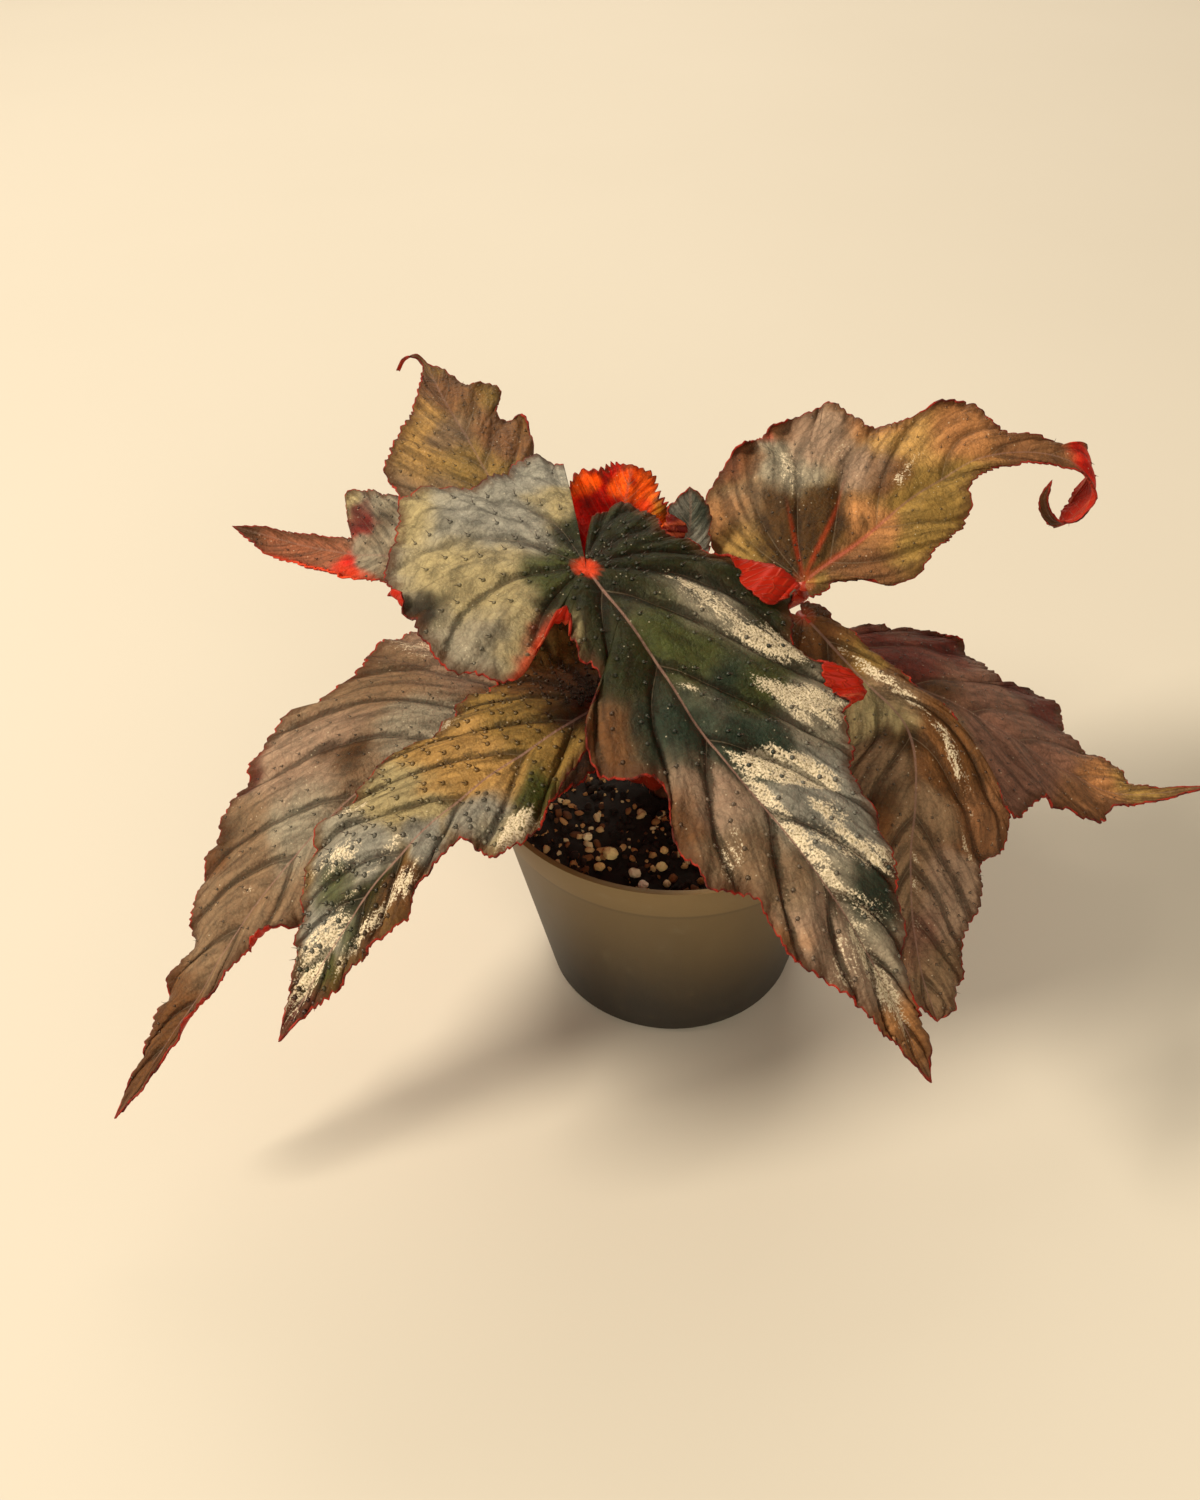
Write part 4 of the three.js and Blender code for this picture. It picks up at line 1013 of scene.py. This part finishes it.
    def ground(self, x, y):
        """The sheet's own colour: its dabs of colour, blended, with uneven borders. Its alpha is
        how much red of the junction's spot and of the scarlet patches there is."""
        spot = np.clip((SPOT_REACH_SQUARED - x * x - y * y) / SPOT_SOFTNESS, 0, 1)
        spot = spot * self.leaf.get("junction", 0.2)
        spot = np.maximum(spot, np.clip(self.patches("scarlet", x, y) * 1.5, 0, 1))
        far_x = BORDER_WANDER * wander(x / 5, y / 4, self.seed)
        near_x = BORDER_FRAY * wander(x / 1.6, y / 1.3, self.seed)
        far_y = BORDER_WANDER * wander(y / 4, x / 5, self.seed + 4)
        near_y = BORDER_FRAY * wander(y / 1.4, x / 1.7, self.seed)
        uneven_x, uneven_y = x + far_x + near_x, y + far_y + near_y
        total = np.full(len(x), GROUND_WEIGHT)
        color = GROUND_WEIGHT * np.array([self.leaf["ground"]] * len(x))
        for along, across, reach, shade in self.leaf["dabs"]:
            away = (uneven_x - along) ** 2 + (uneven_y - across) ** 2
            weight = np.exp(-1.8 * away / reach ** 2)
            total += weight
            color += weight[:, None] * np.array(shade)
        # Painted light: a leaf that lies in shade has its colours made lighter by its bright factor
        color *= self.leaf.get("bright", 1) / total[:, None]
        color[:, 3] = spot
        return color

    def vivid(self, x, y):
        """How strongly the veins show."""
        along, across = self.leaf.get("fade", (0, 0))
        return self.leaf.get("quilt", 1) * np.clip(1 + along * x + across * y, 0.1, 1)

    def patches(self, kind, x, y):
        """How much of the silver or scarlet patches there is."""
        amount = np.zeros(len(x))
        for along, across, length, width, turn, much in self.leaf.get(kind, []):
            cosine, sine = math.cos(math.radians(turn)), math.sin(math.radians(turn))
            lengthways = (x - along) * cosine + (y - across) * sine
            crossways = (y - across) * cosine - (x - along) * sine
            away = (lengthways / length) ** 2 + (crossways / width) ** 2
            amount = np.maximum(amount, much * np.exp(-0.8 * away ** 1.5))
        return amount


def make_blade(name, blade, *materials):
    """The sheet with its thickness. Its materials are the upper side's and the lower side's."""
    columns, rows = blade.leaf["size"]
    bm = bmesh.new()
    bmesh.ops.create_grid(bm, x_segments=columns, y_segments=2 * rows, size=0.5)
    piece = add_piece(name, smooth(bm), *materials)
    grid = np.empty(len(piece.data.vertices) * 3)
    piece.data.vertices.foreach_get("co", grid)
    column = np.rint((grid[0::3] + 0.5) * columns).astype(int)
    row = np.rint((grid[1::3] + 0.5) * 2 * rows) / rows - 1
    made = blade.lay(blade.columns[column], np.sign(row) * (1 - (1 - np.abs(row)) ** 1.3))
    piece.data.vertices.foreach_set("co", made["place"].ravel())
    silver = blade.patches("silver", made["x"], made["y"])
    seeds = np.full(len(silver), NOISE_STRIDE * blade.seed)
    inset = made["inset"] * blade.leaf.get("fine", 1)
    vectors = {
        "leaf_place": (made["x"], made["y"], seeds),
        "veins": (made["vein"], made["gap"], made["spine"]),
        "edge": (inset, made["ring"], silver),
    }
    for attribute, values in vectors.items():
        set_points(piece.data, attribute, "FLOAT_VECTOR", np.stack(values, 1))
    set_points(piece.data, "ground", "FLOAT_COLOR", blade.ground(made["x"], made["y"]))
    set_points(piece.data, "vivid", "FLOAT", blade.vivid(made["x"], made["y"]))
    bm = bmesh.new()
    bm.from_mesh(piece.data)
    bmesh.ops.remove_doubles(bm, verts=bm.verts, dist=MERGE_REACH)
    bm.to_mesh(piece.data)
    bm.free()
    sheet = piece.modifiers.new("thickness", "SOLIDIFY")
    sheet.thickness, sheet.offset, sheet.material_offset = BLADE_THICKNESS, 0, 1
    apply_modifiers(piece)
    return piece


def placed_along(places, leaning):
    """Matrices at places whose +Z points along the given directions."""
    return [Matrix.Translation(place) @ Vector(toward).to_track_quat("Z", "Y").to_matrix().to_4x4()
            for place, toward in zip(places, leaning)]


def make_bristles(name, blade, material):
    """Small mounds with a stiff hair each, in rows between the veins."""
    chance = np.random.default_rng(int(blade.seed))
    pitch = blade.leaf["bristles"]
    stride = 1 / 3 if pitch < DENSE_PITCH else 0.5
    shares, rows = [], []
    for number in np.arange(0.33, len(VEIN_SHARES) - 1.4, stride):
        start = np.interp(number, range(len(VEIN_SHARES)), blade.veins)
        for half in (0, 1):
            edge = np.interp(max(start, 0), SHARES, blade.rims[half]["reach"])
            reaches = np.arange(pitch * 0.7, edge - 1.5, pitch * 0.62)
            reaches = reaches + chance.uniform(-0.2, 0.2, len(reaches)) * pitch
            rings = np.clip(reaches / max(edge, 1), 0.05, 0.96)
            shares.append(start + VEIN_BOW * rings ** 2 + chance.uniform(-0.012, 0.012, len(rings)))
            rows.append(rings * (1 - 2 * half))
    shares, rows = np.concatenate(shares), np.concatenate(rows)
    inside = (shares > 0.01) & (shares < 0.985)
    shares, rows = shares[inside], rows[inside]
    made = blade.lay(shares, rows)
    along = blade.lay(shares + 2e-3, rows)["place"] - made["place"]
    outwards = blade.lay(shares, rows + 0.02)["place"] - made["place"]
    normal = unit(np.cross(along, outwards))
    outward_lean = 0.7 * unit(outwards) * np.sign(rows)[:, None]
    lean = unit(normal + outward_lean + chance.normal(0, 0.15, normal.shape))
    foot = made["place"] + normal * BLADE_THICKNESS * 0.4
    ground = blade.ground(made["x"], made["y"])
    mound = standing_cone(7, MOUND_RADIUS, MOUND_RADIUS * 0.3, MOUND_HEIGHT)
    hair = standing_cone(4, HAIR_RADIUS, HAIR_RADIUS * 0.2, HAIR_LENGTH)
    bold = Matrix.Scale(blade.leaf.get("bold", 0.75), 4)
    parts = [
        (mound, placed_along(foot, normal), ground * 0.5),
        (hair, placed_along(foot + normal * MOUND_HEIGHT * 0.4, lean), np.array([HAIR_COLOR] * len(foot))),
    ]
    whole, colors = bmesh.new(), []
    for template, matrices, shades in parts:
        corners = len(template.verts)
        bm = scattered(template, [matrix @ bold for matrix in matrices])
        mesh = bpy.data.meshes.new("part")
        bm.to_mesh(mesh)
        bm.free()
        whole.from_mesh(mesh)
        bpy.data.meshes.remove(mesh)
        colors.append(np.repeat(shades, corners, axis=0))
    piece = add_piece(name, smooth(whole), material)
    set_points(piece.data, "ground", "FLOAT_COLOR", np.concatenate(colors))
    return piece


def from_half(value):
    """How far a material's number is from the nearest half, such as 2.5."""
    return abs(value.math("FRACT", value) - 0.5)


def backlit(finish, surface, glow, share):
    """The material of a surface that lets a share of the light through in the glow's colour."""
    back = finish.node("BsdfTranslucent", {"Color": glow})
    return finish.done(finish.node("MixShader", {0: share, 1: surface, 2: back}))


def blade_finish(name, glow, glow_share):
    """Ground colours, dark green beside the veins, painted shade in their hollows, silver grains and a red
    rim. It covers the upper sides and both sides of the young upright leaf."""
    finish = Finish(name)
    place = finish.attribute("leaf_place")
    x, y, seed = finish.parts(place)
    vein, gap, spine = finish.parts(finish.attribute("veins"))
    inset, ring, silver = finish.parts(finish.attribute("edge"))
    ground = finish.attribute("ground", "Color")
    beside = from_half(vein + 0.5) * gap
    forked = from_half(vein) * gap
    drawn_out = {"X": vein * 5.0, "Y": spine * 0.2, "Z": seed + y * 0.01}
    streaks = finish.noise(finish.node("CombineXYZ", drawn_out), 1.0, 5.0, 0.65)
    grain = finish.noise(place, 1.9, 4.0, 0.65)
    patches = finish.noise(place, 0.35, 4.0, 0.6)
    net = finish.cells(place, 0.42, "DISTANCE_TO_EDGE")
    color = finish.dimmed(ground, 0.6 + finish.rise(streaks * 0.6 + patches * 0.4, 0.36, 0.62))
    color = finish.blend(finish.rise(grain, 0.5, 0.72) * 0.35, color, finish.dimmed(ground, 2.2))
    groove = 1 - finish.rise(beside, 0.15, 2.4)
    ragged = 1 - finish.rise(beside + (streaks - 0.5) * 7 + (grain - 0.5) * 3, 0.9, 2.0)
    vivid = finish.attribute("vivid", "Fac")
    dark = finish.blend((vivid - 0.6) * 1.1, finish.dimmed(ground, 0.4), DEEP_GREEN)
    color = finish.blend(ragged * vivid * 0.6, color, dark)
    # Painted shade: the colour is darkened in the hollows along the sunken veins
    color = finish.dimmed(color, 1 - groove * vivid * 0.4)
    color = finish.dimmed(color, 0.82 + finish.rise(net, 0.0, 0.12) * 0.18)
    fork = (1 - finish.rise(forked, 0.1, 0.9)) * finish.rise(ring, 0.4, 0.6)
    color = finish.dimmed(color, 1 - fork * 0.3)
    low = 0.63 - silver * 0.21
    shine = finish.rise(grain * 0.34 + streaks * 0.42 + patches * 0.24, low, low + 0.07)
    shine *= finish.rise(silver, 0.08, 0.3) * (1 - ragged * 0.7)
    pits = 1 - finish.rise(finish.cells(place, 0.7), 0.12, 0.3)
    shine *= 1 - pits * 0.8
    silvery = finish.blend(finish.rise(grain, 0.36, 0.56), SAGE, CREAM)
    color = finish.blend(shine * 0.95, color, silvery)
    dots = finish.cells(place, 0.42)
    color = finish.blend((1 - finish.rise(dots, 0.05, 0.1)) * 0.4, color, CREAM)
    line = (1 - finish.rise(beside, 0.06, 0.25)) * (1 - finish.rise(ring, 0.2, 0.8))
    color = finish.blend(line * 0.3, color, srgb("#8a7a66"))
    rib = 1 - finish.rise(spine + x * 0.002, 0.25, 0.6)
    color = finish.blend(rib * finish.rise(x, 0.5, 3.0) * (vivid * 0.8), color, srgb("#94756a"))
    border = (1 - finish.rise(inset + (patches - 0.5) * 6, 0.3, 4.5)) * 0.7
    color = finish.blend(border, color, finish.blend(patches, BRONZE, MAROON))
    rim = finish.blend(finish.rise(streaks, 0.4, 0.6), WINE, RIM_RED)
    color = finish.blend(1 - finish.rise(inset, 0.2, 0.6), color, rim)
    color = finish.blend(finish.attribute("ground", "Alpha"), color, JUNCTION_RED)
    pebbles = finish.cells(place, 1.1)
    height = pebbles * 0.35 + grain * 1.1 + finish.rise(net, 0.0, 0.25) * 0.3 - groove * 0.6
    roughness = 0.34 + patches * 0.2 + shine * 0.15
    surface = finish.shader(color, roughness, height, SKIN_BUMP, Specular_IOR_Level=0.14)
    share = (vivid + 0.3) * (0.5 + finish.rise(patches, 0.4, 0.6)) * glow_share
    return backlit(finish, surface, glow, share)


def underside_finish(name, deep, light, glow_share):
    """The lower side: crimson with raised paler veins."""
    finish = Finish(name)
    place = finish.attribute("leaf_place")
    vein, gap, _ = finish.parts(finish.attribute("veins"))
    beside = from_half(vein + 0.5) * gap
    net = finish.cells(place, 0.42, "DISTANCE_TO_EDGE")
    mottle = finish.noise(place, 0.3, 4.0, 0.6)
    color = finish.blend(mottle, deep, light)
    ridge = 1 - finish.rise(beside, 0.2, 0.9)
    mesh = 1 - finish.rise(net, 0.0, 0.08)
    color = finish.blend(ridge * 0.5 + mesh * 0.2, color, srgb("#d0603a"))
    height = ridge + mesh * 0.5 + mottle * 0.4
    surface = finish.shader(color, 0.45, height, SKIN_BUMP, Specular_IOR_Level=0.2)
    return backlit(finish, surface, light, glow_share)


def bristle_finish():
    finish = Finish("bristle")
    return finish.done(finish.shader(finish.attribute("ground", "Color"), 0.45))


upper = blade_finish("leaf_upper", srgb("#8a2a10"), 0.15)
lower = underside_finish("leaf_under", srgb("#7e0b04"), srgb("#d22a0a"), 0.3)
curled_lower = underside_finish("curled_under", srgb("#2e0504"), srgb("#7a140e"), 0.08)
young_skin = blade_finish("young_skin", srgb("#f43a06"), 0.4)
bristle_skin = bristle_finish()
young_sides = {
    "young_upright": (young_skin, young_skin),
    "young_curled": (upper, curled_lower),
}
blades = {}
for number, (name, leaf) in enumerate(LEAVES.items(), 1):
    blades[name] = Blade(leaf, number)
    sides = young_sides.get(name, (upper, lower))
    pieces = [make_blade(f"blade_{name}", blades[name], *sides)]
    if leaf["bristles"]:
        pieces.append(make_bristles(f"bristles_{name}", blades[name], bristle_skin))
    for piece in pieces:
        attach(piece, "root")
        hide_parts(f"leaf_{name}")

# ---- Leaf stalks -----------------------------------------------------------
# Fleshy red stalks, each grown in one with the crown and its blade: round, a little thicker
# at the foot, finely ribbed and set with short pale hairs.
STALKS = {
    # bearing and height on the crown, points on the way, radius
    "front": (190, 79, [(-14, -3, 104), (-20, -2, 122)], 2.2),
    "front_left": (236, 73, [(-12, -13, 90)], 2.0),
    "far_left": (200, 71, [(-18, -5, 78)], 2.0),
    "back_left": (140, 78, [(-14, 12, 92), (-27, 20, 112)], 1.8),
    "left": (156, 71, [(-17, 13, 86), (-33, 22, 102)], 1.8),
    "back_right": (38, 78, [(14, 11, 94), (28, 20, 108)], 2.0),
    "right": (4, 71, [(18, 4, 84), (32, 8, 96)], 1.8),
    "front_right": (345, 78, [(18, -1, 92), (30, 4, 108)], 1.8),
    "young_upright": (108, 78, [(-7, 18, 90), (-14, 29, 104)], 1.3),
    "young_curled": (74, 78, [(4, 17, 90), (4, 26, 104)], 1.2),
}
STALK_STANDOFF = 9
STALK_SIDES = 24
STALK_RINGS = 70
STALK_ROOT = 1.5
STALK_HAIR_PITCH = 2.2
STALK_HAIR_LENGTH = 1.3 * MM
STALK_HAIR_RADIUS = 0.07 * MM


def stalk_route(blade, bearing, height, via, radius):
    """The stalk's middle line, from inside the crown's skin to the junction from below."""
    turn = math.radians(bearing)
    out = np.array([math.cos(turn), math.sin(turn), 0])
    root = out * (CROWN_RADIUS / MM - STALK_ROOT) + np.array([0, 0, height])
    place = [np.interp(0, blade.marks, blade.places[:, k]) for k in range(3)]
    up = np.array([np.interp(0, blade.marks, blade.up[:, k]) for k in range(3)])
    points = np.array([root, root + out * (1.8 + radius * 1.5), *via, place - up * STALK_STANDOFF,
                       place - up * STALK_STANDOFF / 3, place - up * 0.4])
    strides = np.sqrt(np.linalg.norm(np.diff(points, axis=0), axis=1))
    knots = np.concatenate([[0], np.cumsum(strides)])
    return smooth_line(knots, points, np.linspace(0, knots[-1], STALK_RINGS + 1)) * MM


def stalk_finish():
    finish = Finish("stalk_skin")
    place = finish.place()
    ribs = finish.noise(finish.stretched(place, (1, 1, 0.25)), 900.0, 3.0)
    blotch = finish.noise(place, 140.0, 4.0, 0.6)
    color = finish.blend(blotch, srgb("#8c1f10"), srgb("#c8452a"))
    color = finish.blend(finish.rise(ribs, 0.6, 0.75) * 0.4, color, srgb("#d98a5c"))
    surface = finish.shader(color, 0.4, ribs, 0.15 * MM)
    return backlit(finish, surface, srgb("#e0431c"), 0.25)


def make_stalk(name, route, radius):
    """A straight bar of one unit, bent along the route and thickened at both ends."""
    bm = standing_cone(STALK_SIDES, 1, 1, 1)
    sides = [edge for edge in bm.edges if abs(edge.verts[0].co.z - edge.verts[1].co.z) > 0.5]
    bmesh.ops.subdivide_edges(bm, edges=sides, cuts=STALK_RINGS - 1)
    headings = unit(np.gradient(route, axis=0))
    side = unit(np.cross(headings[0], (0, 0, 1.0)))
    sideways = [side]
    for heading in headings[1:]:
        side = unit(side - heading * np.dot(side, heading))
        sideways.append(side)
    for corner in bm.verts:
        k = round(corner.co.z * STALK_RINGS)
        share = k / STALK_RINGS
        foot_swell = 0.45 * (1 - min(1, share / 0.25)) ** 2
        top_swell = 0.25 * max(0, share - 0.85) / 0.15
        thick = radius * MM * (1 + foot_swell + top_swell)
        thick *= 1 + 0.05 * noise.noise(corner.co * 3 + Vector((0, 0, radius * 9)))
        turned_side = np.cross(headings[k], sideways[k])
        corner.co = Vector(route[k] + thick * (sideways[k] * corner.co.x + turned_side * corner.co.y))
    return add_piece(f"leaf_stalk_{name}", smooth(bm), stalk_skin)


def make_stalk_hairs(name, route, radius, seed):
    """Short hairs that stand out all round the stalk, apart from its ends."""
    chance = np.random.default_rng(seed)
    length = np.linalg.norm(np.diff(route, axis=0), axis=1).sum() / MM
    count = int(length * radius * 2 * math.pi / STALK_HAIR_PITCH ** 2)
    at = chance.uniform(0.06, 0.93, count) * STALK_RINGS
    headings = unit(np.gradient(route, axis=0))
    place = np.stack([np.interp(at, range(len(route)), route[:, k]) for k in range(3)], 1)
    heading = np.stack([np.interp(at, range(len(route)), headings[:, k]) for k in range(3)], 1)
    out = unit(np.cross(heading, chance.normal(0, 1, (count, 3))))
    hair = standing_cone(4, STALK_HAIR_RADIUS, STALK_HAIR_RADIUS / 4, STALK_HAIR_LENGTH)
    leaning = unit(out + 0.3 * chance.normal(0, 1, (count, 3)))
    matrices = placed_along(place + out * radius * MM * 0.95, leaning)
    return add_piece(f"stalk_hairs_{name}", smooth(scattered(hair, matrices)), hair_skin)


def hair_finish():
    finish = Finish("hair")
    return finish.done(finish.shader(srgb("#c46a48"), 0.5))


stalk_skin, hair_skin = stalk_finish(), hair_finish()
for number, (name, (bearing, height, via, radius)) in enumerate(STALKS.items()):
    route = stalk_route(blades[name], bearing, height, via, radius)
    for piece in (make_stalk(name, route, radius), make_stalk_hairs(name, route, radius, number)):
        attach(piece, "root")
        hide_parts(f"stalk_{name}")
